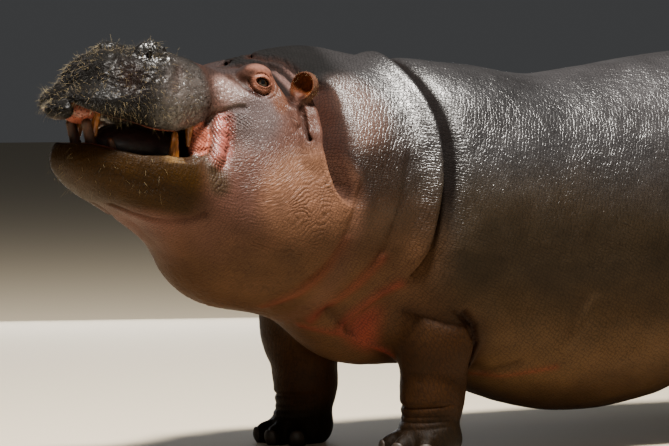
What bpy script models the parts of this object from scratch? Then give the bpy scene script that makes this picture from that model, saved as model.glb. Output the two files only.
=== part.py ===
"""A hippopotamus, life size, standing with its head raised and its mouth a little open.

The flesh is one smooth field: a barrel, limbs and ellipsoids that run into each other over a
stated width. OpenVDB, which comes with Blender, draws a skin on the field, a Decimate modifier
thins it, and thin cuts part it where the neck, the jaw, the legs and the tail begin. Ears,
eyes, tusks and tongue are pieces of their own, each in a socket that fits it.

Metres, +Z up. The animal faces -X and its left side faces -Y. It is modelled over its left
front foot, and the last step stands it with the middle of its box over the origin.
"""

import math

import bpy
import numpy as np
import openvdb
from mathutils import Euler, Matrix, Vector

# ---------------------------------------------------------------- driving dimensions

NAME = "hippopotamus"

GAP = 0.0003  # between pieces that touch
FLESH_GRID = 0.010  # spacing of the samples that a skin is drawn through
SMALL_GRID = 0.004  # the same for ears, tusks and tongue
FLESH_TRIANGLES = 3600
KEPT = 0.35  # how readily the head and the feet are thinned, where the trunk is 1

HEAD_PLACE = (-0.426, -0.020, 1.310)  # between the ears, level with the tops of the eyes
HEAD_TURN = 11.0  # degrees towards its left
HEAD_LIFT = 10.0  # degrees, nose up

# In the head's own axes: forward, outward to each side, up.
EYE = (0.207, 0.153, -0.062)
EYE_RADIUS = 0.028
EAR_ROOT = (0.085, 0.205, -0.120)
TUSK_ROOT = (0.500, 0.148, -0.440)
TUSK_TIP = (0.528, 0.160, -0.290)
TUSK_RADIUS = 0.019
TONGUE = (0.550, 0.0, -0.347)
MOUTH_CORNER = 0.40

# Where the middle of each foot stands.
FOOT_FRONT_LEFT = (0.015, -0.27)
FOOT_FRONT_RIGHT = (-0.21, 0.27)
FOOT_HIND_LEFT = (1.36, -0.27)
FOOT_HIND_RIGHT = (1.60, 0.27)
SHOULDER_LEFT = 0.07
SHOULDER_RIGHT = -0.22
HIP_LEFT = 1.42
HIP_RIGHT = 1.54

TOE_ANGLES = (-62, -21, 21, 62)  # degrees from straight ahead
TOE_REACH = 0.105

# ---------------------------------------------------------------- fields


def curve(*stations):
    """Smooth functions through stations, each a place along an axis and the values there."""
    rows = np.array(stations, float)
    at = rows[:, 0]
    slopes = np.gradient(rows[:, 1:], at, axis=0)
    fine = np.linspace(at[0], at[-1], 400)
    i = np.clip(np.searchsorted(at, fine, side="right") - 1, 0, len(at) - 2)
    span = (at[i + 1] - at[i])[:, None]
    t = (fine - at[i])[:, None] / span
    values = rows[i, 1:] * (1 + 2 * t) * (1 - t) ** 2
    values += rows[i + 1, 1:] * t * t * (3 - 2 * t)
    values += slopes[i] * span * t * (1 - t) ** 2
    values -= slopes[i + 1] * span * t * t * (1 - t)
    return lambda x: [np.interp(x, fine, column) for column in values.T]


def ellipsoid(p, centre, radii, turn=(0, 0, 0), square=2.0):
    """About the distance to an ellipsoid, which is boxier as square grows past 2."""
    angles = Euler([math.radians(a) for a in turn])
    q = (p - np.array(centre)) @ np.array(angles.to_matrix())
    r = np.array(radii)
    level = (np.abs(q / r) ** square).sum(axis=1) ** (1 / square) + 1e-9
    reach = np.linalg.norm(q, axis=1) + 1e-9
    slope = np.linalg.norm(q / r**2, axis=1) / (np.linalg.norm(q / r, axis=1) + 1e-9) + 1e-9
    radial = np.maximum(reach * (1 - 1 / level), -r.min())
    return 0.5 * radial + 0.5 * (level - 1) / slope


def limb(p, *stations, flat=1.0, blend=1e-6):
    """Distance to round cones in a chain through (x, y, z, radius). flat under 1 narrows it along Y."""
    nearest = np.full(len(p), 1e3)
    squeeze = np.array([1.0, 1.0 / flat, 1.0])
    for start, end in zip(stations, stations[1:]):
        a, b = np.array(start, float), np.array(end, float)
        axis = (b[:3] - a[:3]) * squeeze
        away = (p - a[:3]) * squeeze
        t = np.clip(away @ axis / (axis @ axis), 0, 1)
        radius = a[3] + (b[3] - a[3]) * t
        nearest = join(nearest, np.linalg.norm(away - t[:, None] * axis, axis=1) - radius, blend)
    return nearest


def join(a, b, width):
    """Both shapes as one, running into each other over that width."""
    h = np.clip(0.5 + 0.5 * (b - a) / width, 0, 1)
    return b + (a - b) * h - width * h * (1 - h)


def carve(a, b, width):
    """The first shape without the second, its edge rounded over that width."""
    return -join(-a, b, width)


def mirrored(q):
    """The same points with the right side folded onto the left."""
    return np.column_stack([q[:, 0], np.abs(q[:, 1]), q[:, 2]])


def fade(x, start, end):
    """0 before start, 1 past end and smooth between."""
    t = np.clip((x - start) / (end - start), 0, 1)
    return t * t * (3 - 2 * t)


# ---------------------------------------------------------------- trunk, neck, legs and tail

# Along X: the back's height, the belly's height, half the width, and how square the section is
# above and below its middle.
BARREL = curve(
    (-0.60, 1.33, 0.62, 0.25, 1.55, 2.1),
    (-0.35, 1.40, 0.46, 0.34, 1.6, 2.1),
    (-0.12, 1.385, 0.38, 0.405, 1.85, 2.15),
    (0.10, 1.375, 0.29, 0.455, 2.1, 2.2),
    (0.30, 1.352, 0.19, 0.485, 2.15, 2.2),
    (0.52, 1.325, 0.118, 0.51, 2.15, 2.2),
    (0.77, 1.35, 0.10, 0.52, 2.15, 2.2),
    (1.00, 1.388, 0.135, 0.51, 2.15, 2.2),
    (1.25, 1.412, 0.24, 0.47, 2.1, 2.2),
    (1.50, 1.375, 0.42, 0.40, 2.1, 2.2),
    (1.68, 1.26, 0.56, 0.30, 2.1, 2.1),
)
BARREL_ENDS = (-0.60, 1.68)
BARREL_CAPS = (0.25, 0.08)  # how far the ends run on: in front into the head, behind into the rump


def barrel(p):
    x = np.clip(p[:, 0], *BARREL_ENDS)
    top, bottom, half_width, square_above, square_below = BARREL(x)
    middle = bottom + 0.46 * (top - bottom)
    across = np.abs(p[:, 1])
    up = p[:, 2] - middle
    half_height = np.where(up > 0, top - middle, middle - bottom)
    square = np.where(up > 0, square_above, square_below)
    level = ((across / half_width) ** square + (np.abs(up) / half_height) ** square) ** (1 / square)
    reach = np.hypot(across, up)
    around = reach - reach / np.maximum(level, 1e-6)
    beyond = np.abs(p[:, 0] - x)
    cap = np.where(p[:, 0] < 0, *BARREL_CAPS)
    ends = np.hypot(np.maximum(around, 0), beyond) + np.clip(around, -cap, 0)
    return np.where(beyond > 0, ends, around)


def brisket(p):
    return ellipsoid(p, (-0.10, 0, 0.50), (0.30, 0.24, 0.20))


def rump(p):
    m = mirrored(p)
    f = ellipsoid(p, (1.46, 0, 0.88), (0.43, 0.41, 0.49), turn=(0, 12, 0))
    return join(f, ellipsoid(m, (1.52, 0.24, 0.70), (0.30, 0.19, 0.36)), 0.12)


def neck(p):
    f = ellipsoid(p, (-0.36, 0, 0.88), (0.37, 0.38, 0.40), turn=(0, 8, 0))
    f = join(f, ellipsoid(p, (-0.60, -0.05, 0.825), (0.345, 0.28, 0.30), turn=(0, -25, 6)), 0.12)
    return join(f, ellipsoid(p, (-0.45, 0, 1.250), (0.27, 0.15, 0.135), turn=(0, -2, 3)), 0.08)


def foot(p, place):
    """Four toes, each with a nail, in front of a round pad."""
    x, y = place
    f = ellipsoid(p, (x - 0.01, y, 0.05), (0.115, 0.115, 0.075))
    for angle in TOE_ANGLES:
        ahead, aside = math.cos(math.radians(angle)), math.sin(math.radians(angle))
        toe = (x - 0.02 - TOE_REACH * ahead, y + TOE_REACH * aside, 0.030)
        f = join(f, ellipsoid(p, toe, (0.055, 0.038, 0.048), turn=(0, -12, -angle)), 0.018)
    return f


def leg(p, place, top, knee_back, knee):
    """A leg over the foot at place: top and knee are (x, height, radius) and (height, radius)."""
    x, y = place
    knee_x = 0.5 * (top[0] + x) + knee_back
    f = limb(
        p,
        (top[0], 0.93 * y, top[1], top[2]),
        (knee_x, y, *knee),
        (x + 0.4 * knee_back + 0.01, y, 0.21, 0.103),
        (x, y, 0.11, 0.098),
        blend=0.05,
    )
    return join(f, foot(p, place), 0.05)


def legs(p):
    f = leg(p, FOOT_FRONT_LEFT, (SHOULDER_LEFT, 0.70, 0.20), 0.0, (0.40, 0.138))
    f = np.minimum(f, leg(p, FOOT_FRONT_RIGHT, (SHOULDER_RIGHT, 0.70, 0.20), 0.0, (0.40, 0.138)))
    f = np.minimum(f, leg(p, FOOT_HIND_LEFT, (HIP_LEFT, 0.66, 0.20), 0.05, (0.38, 0.130)))
    return np.minimum(f, leg(p, FOOT_HIND_RIGHT, (HIP_RIGHT, 0.66, 0.20), 0.05, (0.38, 0.130)))


def tail(p):
    """Thick at the root, hanging, and flattened towards its end."""
    return limb(
        p,
        (1.80, 0, 1.04, 0.065),
        (1.895, 0, 0.94, 0.055),
        (1.925, 0, 0.80, 0.040),
        (1.930, 0, 0.68, 0.034),
        (1.925, 0, 0.58, 0.022),
        flat=0.75,
        blend=0.02,
    )


# The folds behind the head, front to back: the line each follows, as X against height, then how
# deep and how broad it is, and the heights that it runs between.
FOLDS = (
    (
        curve((0.45, -0.68), (0.56, -0.555), (0.66, -0.442), (0.77, -0.378), (0.92, -0.318), (1.13, -0.242), (1.3, -0.20)),
        (0.020, 0.022, 0.50, 1.20),
    ),
    (
        curve((0.45, -0.43), (0.53, -0.37), (0.66, -0.284), (0.787, -0.203), (0.915, -0.160), (1.2, -0.095)),
        (0.018, 0.020, 0.50, 1.16),
    ),
    (
        curve((0.50, -0.18), (0.68, -0.084), (0.85, -0.027), (1.05, 0.004), (1.22, -0.004), (1.38, -0.055)),
        (0.030, 0.022, 0.62, 1.60),
    ),
)
SWELL = 0.25  # how far the skin in front of a fold stands out, over the fold's depth


def folds(p):
    """How deep the neck's folds go at each point."""
    depth = np.zeros(len(p))
    for route, (deep, broad, low, high) in FOLDS:
        away = p[:, 0] - route(p[:, 2])[0]
        groove = np.exp(-((away / broad) ** 2))
        swell = SWELL * np.exp(-(((away + 2.6 * broad) / (1.9 * broad)) ** 2))
        runs = fade(p[:, 2], low, low + 0.12) * (1 - fade(p[:, 2], high - 0.1, high))
        depth += deep * (groove - swell) * runs
    return depth


# ---------------------------------------------------------------- head


def head_axes():
    """Forward, left and up of the head, as rows."""
    turn, lift = math.radians(HEAD_TURN), math.radians(HEAD_LIFT)
    level = np.array([-math.cos(turn), -math.sin(turn), 0])
    forward = level * math.cos(lift) + np.array([0, 0, math.sin(lift)])
    left = np.cross([0, 0, 1], level)
    return np.array([forward, left, np.cross(forward, left)])


HEAD_AXES = head_axes()


def to_head(p):
    return (p - np.array(HEAD_PLACE)) @ HEAD_AXES.T


def from_head(place, side=1):
    """A place in the head's axes, on its left side or with side -1 on its right."""
    forward, outward, up = place
    return Vector(np.array([forward, side * outward, up]) @ HEAD_AXES + np.array(HEAD_PLACE))


def upper_head(h):
    m = mirrored(h)
    f = ellipsoid(m, (0.04, 0, -0.17), (0.26, 0.20, 0.19))
    f = join(f, ellipsoid(m, (0.14, 0.10, -0.25), (0.21, 0.135, 0.17)), 0.08)
    f = join(f, ellipsoid(m, (0.36, 0, -0.145), (0.28, 0.145, 0.120), square=2.3), 0.10)
    f = join(f, ellipsoid(m, (0.62, 0, -0.150), (0.235, 0.205, 0.135), turn=(0, 10, 0), square=2.5), 0.06)
    f = join(f, ellipsoid(m, (0.580, 0.125, -0.190), (0.165, 0.105, 0.115), turn=(0, 0, 6)), 0.03)
    f = join(f, ellipsoid(m, (0.765, 0.075, -0.228), (0.128, 0.135, 0.065), turn=(0, 8, -12)), 0.05)
    f = join(f, ellipsoid(m, (0.635, 0.105, -0.055), (0.058, 0.045, 0.055)), 0.03)
    f = join(f, ellipsoid(m, (0.200, 0.112, -0.062), (0.080, 0.055, 0.064)), 0.025)
    ear_base = (EAR_ROOT[0], EAR_ROOT[1] - 0.02, EAR_ROOT[2] - 0.01)
    f = join(f, ellipsoid(m, ear_base, (0.050, 0.035, 0.060)), 0.03)
    return f


def lower_jaw(h):
    m = mirrored(h)
    f = ellipsoid(m, (0.61, 0, -0.450), (0.245, 0.195, 0.110), turn=(0, -16, 0), square=2.5)
    f = join(f, ellipsoid(m, (0.53, 0.12, -0.43), (0.16, 0.10, 0.10), turn=(0, -6, 0)), 0.05)
    f = join(f, ellipsoid(m, (0.30, 0.08, -0.46), (0.26, 0.15, 0.17)), 0.10)
    f = join(f, ellipsoid(m, (0.12, 0.13, -0.44), (0.24, 0.150, 0.24)), 0.10)
    f = join(f, ellipsoid(m, (0.36, 0, -0.55), (0.14, 0.15, 0.105)), 0.06)
    return f


# Along the head: the heights of the upper and the lower lip's edge at the sides.
LIPS = curve(
    (0.40, -0.318, -0.322),
    (0.46, -0.285, -0.365),
    (0.52, -0.285, -0.375),
    (0.62, -0.290, -0.378),
    (0.74, -0.288, -0.380),
    (1.00, -0.285, -0.380),
)
LIP_ARCH = (0.050, 0.032)  # how much higher the lips' edges are at the front of the mouth


def mouth(h):
    """The gap between the lips and the hollow inside them."""
    upper, lower = LIPS(h[:, 0])
    arch = fade(h[:, 0], 0.60, 0.80) * np.clip(1 - (h[:, 1] / 0.18) ** 2, 0, 1)
    upper = upper + LIP_ARCH[0] * arch
    lower = lower + LIP_ARCH[1] * arch
    gap = np.maximum(np.maximum(h[:, 2] - upper, lower - h[:, 2]), MOUTH_CORNER - h[:, 0])
    inside = ellipsoid(h, (0.61, 0, -0.325), (0.235, 0.150, 0.105), square=2.4)
    return join(gap, inside, 0.03)


def teeth(h):
    """Short front teeth, and the upper canines, which stand on the gums."""
    m = mirrored(h)
    f = limb(m, (0.745, 0.045, -0.420, 0.020), (0.803, 0.047, -0.302, 0.016))
    f = np.minimum(f, limb(m, (0.700, 0.095, -0.425, 0.018), (0.738, 0.102, -0.345, 0.012)))
    f = np.minimum(f, limb(m, (0.765, 0.045, -0.230, 0.015), (0.770, 0.047, -0.330, 0.012)))
    f = np.minimum(f, limb(m, (0.463, 0.138, -0.240, 0.018), (0.460, 0.145, -0.313, 0.010)))
    return f


def palate(h):
    return ellipsoid(h, (0.640, 0, -0.190), (0.170, 0.110, 0.060))


# ---------------------------------------------------------------- the whole animal


def flesh(p):
    h = to_head(p)
    f = join(barrel(p), neck(p), 0.12)
    f = join(f, rump(p), 0.12)
    f = join(f, brisket(p), 0.08)
    f = join(f, join(upper_head(h), lower_jaw(h), 0.03), 0.06)
    f = f + folds(p)
    f = carve(f, mouth(h), 0.02)
    f = join(f, palate(h), 0.02)
    f = join(f, teeth(h), 0.008)
    return join(f, legs(p), 0.06)


def ear(p):
    """A round cup on a short stem, along +Z and open towards -Y."""
    f = ellipsoid(p, (0, 0, 0.082), (0.045, 0.027, 0.046))
    f = join(f, limb(p, (0, 0.004, -0.03, 0.028), (0, 0.002, 0.05, 0.022)), 0.02)
    return carve(f, ellipsoid(p, (0, -0.026, 0.086), (0.034, 0.037, 0.034)), 0.006)


def tusk(p):
    """A lower canine in the head's axes, on the left side."""
    bend = [0.5 * (a + b) + c for a, b, c in zip(TUSK_ROOT, TUSK_TIP, (0.012, 0.012, 0))]
    return limb(p, (*TUSK_ROOT, TUSK_RADIUS), (*bend, 0.95 * TUSK_RADIUS), (*TUSK_TIP, 0.55 * TUSK_RADIUS))


def tongue(p):
    return ellipsoid(p, TONGUE, (0.190, 0.115, 0.088))


def ear_matrix(side):
    """Where an ear stands: rising and leaning outward, its cup turned forward and outward."""
    forward, left, up = (Vector(row) for row in HEAD_AXES)
    outward = side * left
    rise = (up + 0.25 * outward).normalized()
    back = -(0.62 * forward + 0.78 * outward)
    back = (back - back.project(rise)).normalized()
    place = Matrix((back.cross(rise), back, rise)).transposed().to_4x4()
    place.translation = from_head(EAR_ROOT, side)
    return place


def head_matrix():
    forward, left, up = (Vector(row) for row in HEAD_AXES)
    place = Matrix((forward, left, up)).transposed().to_4x4()
    place.translation = Vector(HEAD_PLACE)
    return place


# ---------------------------------------------------------------- pieces

BLOCK = 4  # samples to a side of the coarse blocks that are looked at first
SOCKET = 2 * GAP  # how far a socket stands off the piece in it

# The cuts: a point of each plane, in X and Z, and how many degrees it leans back.
HEAD_CUT = (-0.435, 0.975, 22.0)
NECK_CUT = (-0.060, 1.000, 8.0)
JAW_CUT = (0.26, -0.375, 7.5)  # forward and up in the head's axes, and its rise towards the lips
BIG = 3.0  # side of a cutting block
LEG_CUT_RADIUS = 0.205
LEG_CUT_HEIGHT = 0.62

# Colour, roughness.
LOOKS = {
    "skin": ((0.105, 0.078, 0.072), 0.45),
    "eye": ((0.020, 0.011, 0.007), 0.08),
    "teeth_and_nails": ((0.420, 0.280, 0.130), 0.40),
    "tongue": ((0.300, 0.105, 0.085), 0.40),
}


def skinned(name, field, low, high, spacing):
    """A mesh on the field's surface inside a box. Only blocks near it are sampled finely."""
    low = np.array(low, float)
    blocks = [int(math.ceil((b - a) / (BLOCK * spacing))) for a, b in zip(low, high)]
    middles = [a + BLOCK * spacing * (np.arange(n) + 0.5) - spacing / 2 for a, n in zip(low, blocks)]
    grid = np.stack(np.meshgrid(*middles, indexing="ij"), -1).reshape(-1, 3)
    values = field(grid).reshape(blocks)
    near = np.abs(values) < 1.6 * BLOCK * spacing
    for axis in range(3):
        values = values.repeat(BLOCK, axis)
        near = near.repeat(BLOCK, axis)
    places = np.argwhere(near)
    for start in range(0, len(places), 200000):
        some = places[start : start + 200000]
        values[tuple(some.T)] = field(low + some * spacing)
    volume = openvdb.FloatGrid(1.0)
    volume.copyFromArray(values.astype(np.float32))
    volume.transform = openvdb.createLinearTransform(voxelSize=spacing)
    points, quads = volume.convertToQuads(isovalue=0.0)
    mesh = bpy.data.meshes.new(name)
    mesh.from_pydata((points + low).tolist(), [], quads.tolist())
    return mesh


def thinned(mesh, triangles, detail=None):
    """The mesh with about that many triangles, kept finer where detail(points) is high."""
    thick = bpy.data.objects.new(mesh.name, mesh)
    bpy.context.scene.collection.objects.link(thick)
    modifier = thick.modifiers.new("fewer faces", "DECIMATE")
    modifier.ratio = triangles / (2 * len(mesh.polygons))
    modifier.use_collapse_triangulate = True
    if detail:
        points = np.empty(3 * len(mesh.vertices))
        mesh.vertices.foreach_get("co", points)
        plain = 1 - detail(points.reshape(-1, 3))
        group = thick.vertex_groups.new(name="plain")
        for level in range(5):
            chosen = np.flatnonzero(np.round(plain * 4) == level)
            group.add(chosen.tolist(), KEPT + (1 - KEPT) * level / 4, "REPLACE")
        modifier.vertex_group = "plain"
    bpy.context.view_layer.update()
    thin = bpy.data.meshes.new_from_object(thick.evaluated_get(bpy.context.evaluated_depsgraph_get()))
    bpy.data.objects.remove(thick)
    return thin


def material(slot):
    made = bpy.data.materials.get(slot)
    if made:
        return made
    colour, roughness = LOOKS[slot]
    made = bpy.data.materials.new(slot)
    made.use_nodes = True
    surface = made.node_tree.nodes["Principled BSDF"]
    surface.inputs["Base Color"].default_value = (*colour, 1)
    surface.inputs["Roughness"].default_value = roughness
    surface.inputs["Metallic"].default_value = 0.0
    return made


def place_piece(name, mesh, slot, matrix=None):
    """A visible piece, with its own copy of the material."""
    piece = bpy.data.objects.new(name, mesh)
    parts.objects.link(piece)
    piece.matrix_world = matrix or Matrix()
    piece.parent = stand
    mesh.materials.clear()
    mesh.materials.append(material(slot))
    mesh.shade_smooth()
    return piece


def make_cutter(name, mesh, matrix, grow=0.0):
    cutter = bpy.data.objects.new(name, mesh)
    cutters.objects.link(cutter)
    cutter.matrix_world = matrix
    cutter.parent = stand
    cutter.hide_render = True
    cutter.display_type = "WIRE"
    if grow:
        modifier = cutter.modifiers.new("stand off", "DISPLACE")
        modifier.mid_level = 0.0
        modifier.strength = grow
    return cutter


def cut(piece, cutter, operation="DIFFERENCE"):
    modifier = piece.modifiers.new(cutter.name, "BOOLEAN")
    modifier.operation = operation
    modifier.object = cutter
    modifier.solver = "EXACT"


def block(name, corner, matrix=None):
    """A big cube whose lowest corner, in the matrix's axes, is at corner."""
    bpy.ops.mesh.primitive_cube_add(size=BIG)
    cube = bpy.context.object
    mesh = cube.data
    mesh.transform(Matrix.Translation(Vector(corner) + Vector((BIG, BIG, BIG)) / 2))
    bpy.data.objects.remove(cube)
    return make_cutter(name, mesh, matrix or Matrix())


def plane_cut(name, cut_at, gap):
    """All that is in front of a plane that leans back."""
    x, z, lean = cut_at
    place = Matrix.Translation((x, 0, z)) @ Matrix.Rotation(math.radians(lean), 4, "Y")
    return block(name, (-BIG + gap, -BIG / 2, -BIG / 2), place)


def jaw_cut(name, gap):
    """All that is below the gap of the mouth and in front of the jaw's hinge."""
    ahead, up, rise = JAW_CUT
    place = head_matrix() @ Matrix.Translation((ahead, 0, up)) @ Matrix.Rotation(math.radians(-rise), 4, "Y")
    return block(name, (-gap, -BIG / 2, -BIG + gap), place)


def leg_cut(name, place, grow):
    """A round post, domed at the top, that takes the whole of a leg."""
    bpy.ops.mesh.primitive_cylinder_add(vertices=20, radius=LEG_CUT_RADIUS, depth=1.0)
    post = bpy.context.object
    modifier = post.modifiers.new("dome", "BEVEL")
    modifier.width = 0.75 * LEG_CUT_RADIUS
    modifier.segments = 3
    bpy.context.view_layer.update()
    mesh = bpy.data.meshes.new_from_object(post.evaluated_get(bpy.context.evaluated_depsgraph_get()))
    bpy.data.objects.remove(post)
    middle = (place[0] + 0.01, place[1], LEG_CUT_HEIGHT - 0.5)
    return make_cutter(name, mesh, Matrix.Translation(middle), grow)


def detail_of(points):
    """1 on the head and the feet, falling to 0 on the trunk."""
    return np.maximum(1 - fade(points[:, 0], -0.55, -0.25), 1 - fade(points[:, 2], 0.10, 0.25))


for old in list(bpy.data.objects):
    bpy.data.objects.remove(old)

parts = bpy.data.collections.new(NAME)
cutters = bpy.data.collections.new("cutters")
bpy.context.scene.collection.children.link(parts)
bpy.context.scene.collection.children.link(cutters)
stand = bpy.data.objects.new("middle of the stance", None)
parts.objects.link(stand)

# The whole flesh, and the small pieces that sit in it.
thick = skinned("flesh", flesh, (-1.50, -0.70, -0.10), (2.10, 0.70, 1.55), FLESH_GRID)
flesh_mesh = thinned(thick, FLESH_TRIANGLES, detail_of)
tail_mesh = thinned(skinned("tail", tail, (1.70, -0.08, 0.54), (1.98, 0.08, 1.14), SMALL_GRID), 200)
tongue_mesh = thinned(skinned("tongue", tongue, (0.34, -0.13, -0.45), (0.76, 0.13, -0.24), SMALL_GRID), 200)
ear_mesh = thinned(skinned("ear", ear, (-0.06, -0.06, -0.07), (0.06, 0.06, 0.14), SMALL_GRID), 280)
tusk_mesh = thinned(skinned("tusk", tusk, (0.46, 0.11, -0.48), (0.57, 0.20, -0.26), SMALL_GRID), 100)
mirror_tusk_mesh = tusk_mesh.copy()
mirror_tusk_mesh.transform(Matrix.Scale(-1, 4, (0, 1, 0)))
mirror_tusk_mesh.flip_normals()

place_piece("tail", tail_mesh, "skin")
tail_socket = make_cutter("tail socket", tail_mesh, Matrix(), SOCKET)
place_piece("tongue", tongue_mesh, "tongue", head_matrix())
tongue_socket = make_cutter("tongue socket", tongue_mesh, head_matrix(), SOCKET)

sockets = []
tusk_sockets = []
for side, word, its_tusk in ((1, "left", tusk_mesh), (-1, "right", mirror_tusk_mesh)):
    place_piece("ear_" + word, ear_mesh, "skin", ear_matrix(side))
    sockets.append(make_cutter("ear socket " + word, ear_mesh, ear_matrix(side), SOCKET))
    bpy.ops.mesh.primitive_uv_sphere_add(segments=14, ring_count=8, radius=EYE_RADIUS)
    ball = bpy.context.object.data
    bpy.data.objects.remove(bpy.context.object)
    place = Matrix.Translation(from_head(EYE, side))
    place_piece("eye_" + word, ball, "eye", place)
    sockets.append(make_cutter("eye socket " + word, ball, place, SOCKET))
    place_piece("tusk_" + word, its_tusk, "teeth_and_nails", head_matrix())
    tusk_sockets.append(make_cutter("tusk socket " + word, its_tusk, head_matrix(), SOCKET))

# The cuts between the large pieces, each in two sizes so that a gap is left between them.
head_inside = plane_cut("head cut", HEAD_CUT, 0)
head_outside = plane_cut("head cut, neck side", HEAD_CUT, GAP)
neck_inside = plane_cut("neck cut", NECK_CUT, 0)
neck_outside = plane_cut("neck cut, trunk side", NECK_CUT, GAP)
jaw_inside = jaw_cut("jaw cut", 0)
jaw_outside = jaw_cut("jaw cut, head side", GAP)
ground = block("ground", (-BIG / 4, -BIG / 2, -BIG))

FEET = {
    "leg_front_left": FOOT_FRONT_LEFT,
    "leg_front_right": FOOT_FRONT_RIGHT,
    "leg_hind_left": FOOT_HIND_LEFT,
    "leg_hind_right": FOOT_HIND_RIGHT,
}
leg_rooms = []
for name, place in FEET.items():
    leg_piece = place_piece(name, flesh_mesh, "skin")
    cut(leg_piece, leg_cut(name + " cut", place, 0), "INTERSECT")
    cut(leg_piece, ground)
    leg_rooms.append(leg_cut(name + " room", place, SOCKET))

trunk_piece = place_piece("trunk", flesh_mesh, "skin")
cut(trunk_piece, neck_outside)
cut(trunk_piece, tail_socket)
neck_piece = place_piece("neck", flesh_mesh, "skin")
cut(neck_piece, neck_inside, "INTERSECT")
cut(neck_piece, head_outside)
for room in leg_rooms:
    cut(trunk_piece, room)
    cut(neck_piece, room)

head_piece = place_piece("head", flesh_mesh, "skin")
cut(head_piece, head_inside, "INTERSECT")
cut(head_piece, jaw_outside)
for socket in sockets + tusk_sockets:
    cut(head_piece, socket)
cut(head_piece, tongue_socket)
jaw_piece = place_piece("lower_jaw", flesh_mesh, "skin")
cut(jaw_piece, head_inside, "INTERSECT")
cut(jaw_piece, jaw_inside, "INTERSECT")
cut(jaw_piece, tongue_socket)
for socket in tusk_sockets:
    cut(jaw_piece, socket)

# Stand the animal with the middle of its box over the origin.
bpy.context.view_layer.update()
pieces = [piece for piece in parts.objects if piece.type == "MESH"]
corners = [piece.matrix_world @ Vector(corner) for piece in pieces for corner in piece.bound_box]
middle = [0.5 * (min(c[i] for c in corners) + max(c[i] for c in corners)) for i in (0, 1)]
stand.location = (-middle[0], -middle[1], 0)
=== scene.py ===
"""The visible hippopotamus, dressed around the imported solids.

The skin repeats the solids' named forms as one field, with the lids, nostrils, folds and creases
that the solids leave out, and is drawn as one mesh that replaces every piece of flesh. Eyes,
tusks, teeth, nails and tongue are pieces of their own. Bristles and fringes are solid mesh.

Metres, +Z up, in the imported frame. The animal faces -X and its left side faces -Y. The forms are
written over its left front foot, and OFFSET moves them to where the solids stand.
"""

import math
from concurrent.futures import ThreadPoolExecutor

import bpy
import numpy as np
import openvdb
from mathutils import Euler, Matrix, Vector


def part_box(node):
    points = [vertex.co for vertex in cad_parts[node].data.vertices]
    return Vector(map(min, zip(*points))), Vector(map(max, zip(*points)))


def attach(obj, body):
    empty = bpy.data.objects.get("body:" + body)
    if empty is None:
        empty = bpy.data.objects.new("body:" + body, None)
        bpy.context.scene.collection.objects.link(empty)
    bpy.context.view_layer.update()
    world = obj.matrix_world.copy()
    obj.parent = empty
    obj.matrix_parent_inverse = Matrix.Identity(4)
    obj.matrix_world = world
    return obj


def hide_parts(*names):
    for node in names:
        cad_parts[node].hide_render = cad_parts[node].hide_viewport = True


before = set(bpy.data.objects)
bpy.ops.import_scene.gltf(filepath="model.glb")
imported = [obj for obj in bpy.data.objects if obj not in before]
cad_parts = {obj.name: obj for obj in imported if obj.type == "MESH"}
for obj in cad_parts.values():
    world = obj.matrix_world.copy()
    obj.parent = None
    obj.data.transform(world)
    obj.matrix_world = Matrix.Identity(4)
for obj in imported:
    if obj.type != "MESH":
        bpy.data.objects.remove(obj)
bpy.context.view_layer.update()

# ---------------------------------------------------------------- dimensions shared with the solids

HEAD_PLACE = (-0.426, -0.020, 1.310)  # between the ears, level with the tops of the eyes
HEAD_TURN = 11.0  # degrees towards its left
HEAD_LIFT = 10.0  # degrees, nose up

# In the head's own axes: forward, outward to each side, up.
EYE = (0.207, 0.153, -0.062)
EYE_RADIUS = 0.028
EYE_PLAY = 0.0006  # how much smaller the eyeball is
EAR_ROOT = (0.085, 0.205, -0.130)
TUSK_ROOT = (0.500, 0.148, -0.440)
TUSK_TIP = (0.528, 0.160, -0.290)
TUSK_RADIUS = 0.019
TONGUE = (0.550, 0.0, -0.347)
MOUTH_CORNER = 0.40

FOOT_FRONT_LEFT = (0.015, -0.27)
FOOT_FRONT_RIGHT = (-0.21, 0.27)
FOOT_HIND_LEFT = (1.36, -0.27)
FOOT_HIND_RIGHT = (1.60, 0.27)
FEET = (FOOT_FRONT_LEFT, FOOT_FRONT_RIGHT, FOOT_HIND_LEFT, FOOT_HIND_RIGHT)
SHOULDER_LEFT = 0.07
SHOULDER_RIGHT = -0.22
HIP_LEFT = 1.42
HIP_RIGHT = 1.54

TOE_ANGLES = (-62, -21, 21, 62)  # degrees from straight ahead
TOE_REACH = 0.105

# ---------------------------------------------------------------- how finely it is drawn

COARSE = 1.0
HEAD_STEP = 0.0046 * COARSE  # along the body: spacing of the samples at the head
BODY_STEP = 0.0100 * COARSE  # and on the trunk
CROSS_STEP = 0.0058 * COARSE  # across and up
SKIN_SPAN = ((-1.50, 2.06), (-0.60, 0.60), (-0.02, 1.52))  # what is sampled along each axis
HEAD_ENDS = (-0.42, -0.10)  # where the spacing along the body goes from the head's to the trunk's
FACE_BOX = ((0.0, -1, -0.62), (0.46, 1, 0.06))  # drawn twice as finely, in the head's axes
NOSTRIL_SPOT = ((0.655, 0.13, -0.02), 0.07)  # so is this: its place and its radius
EYE_SPOT = 0.062  # and this far round the eye it is drawn twice as finely again
BLOCK = 4  # samples to a side of the coarse blocks that are looked at first
BLOCK_REACH = 1.15  # a block is sampled where the surface is within so many of its diagonals
FLATTEST = 0.2  # the least slope, squared, that a point is moved by
WORKERS = 4
CHUNK = 60000

# ---------------------------------------------------------------- fields


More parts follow.
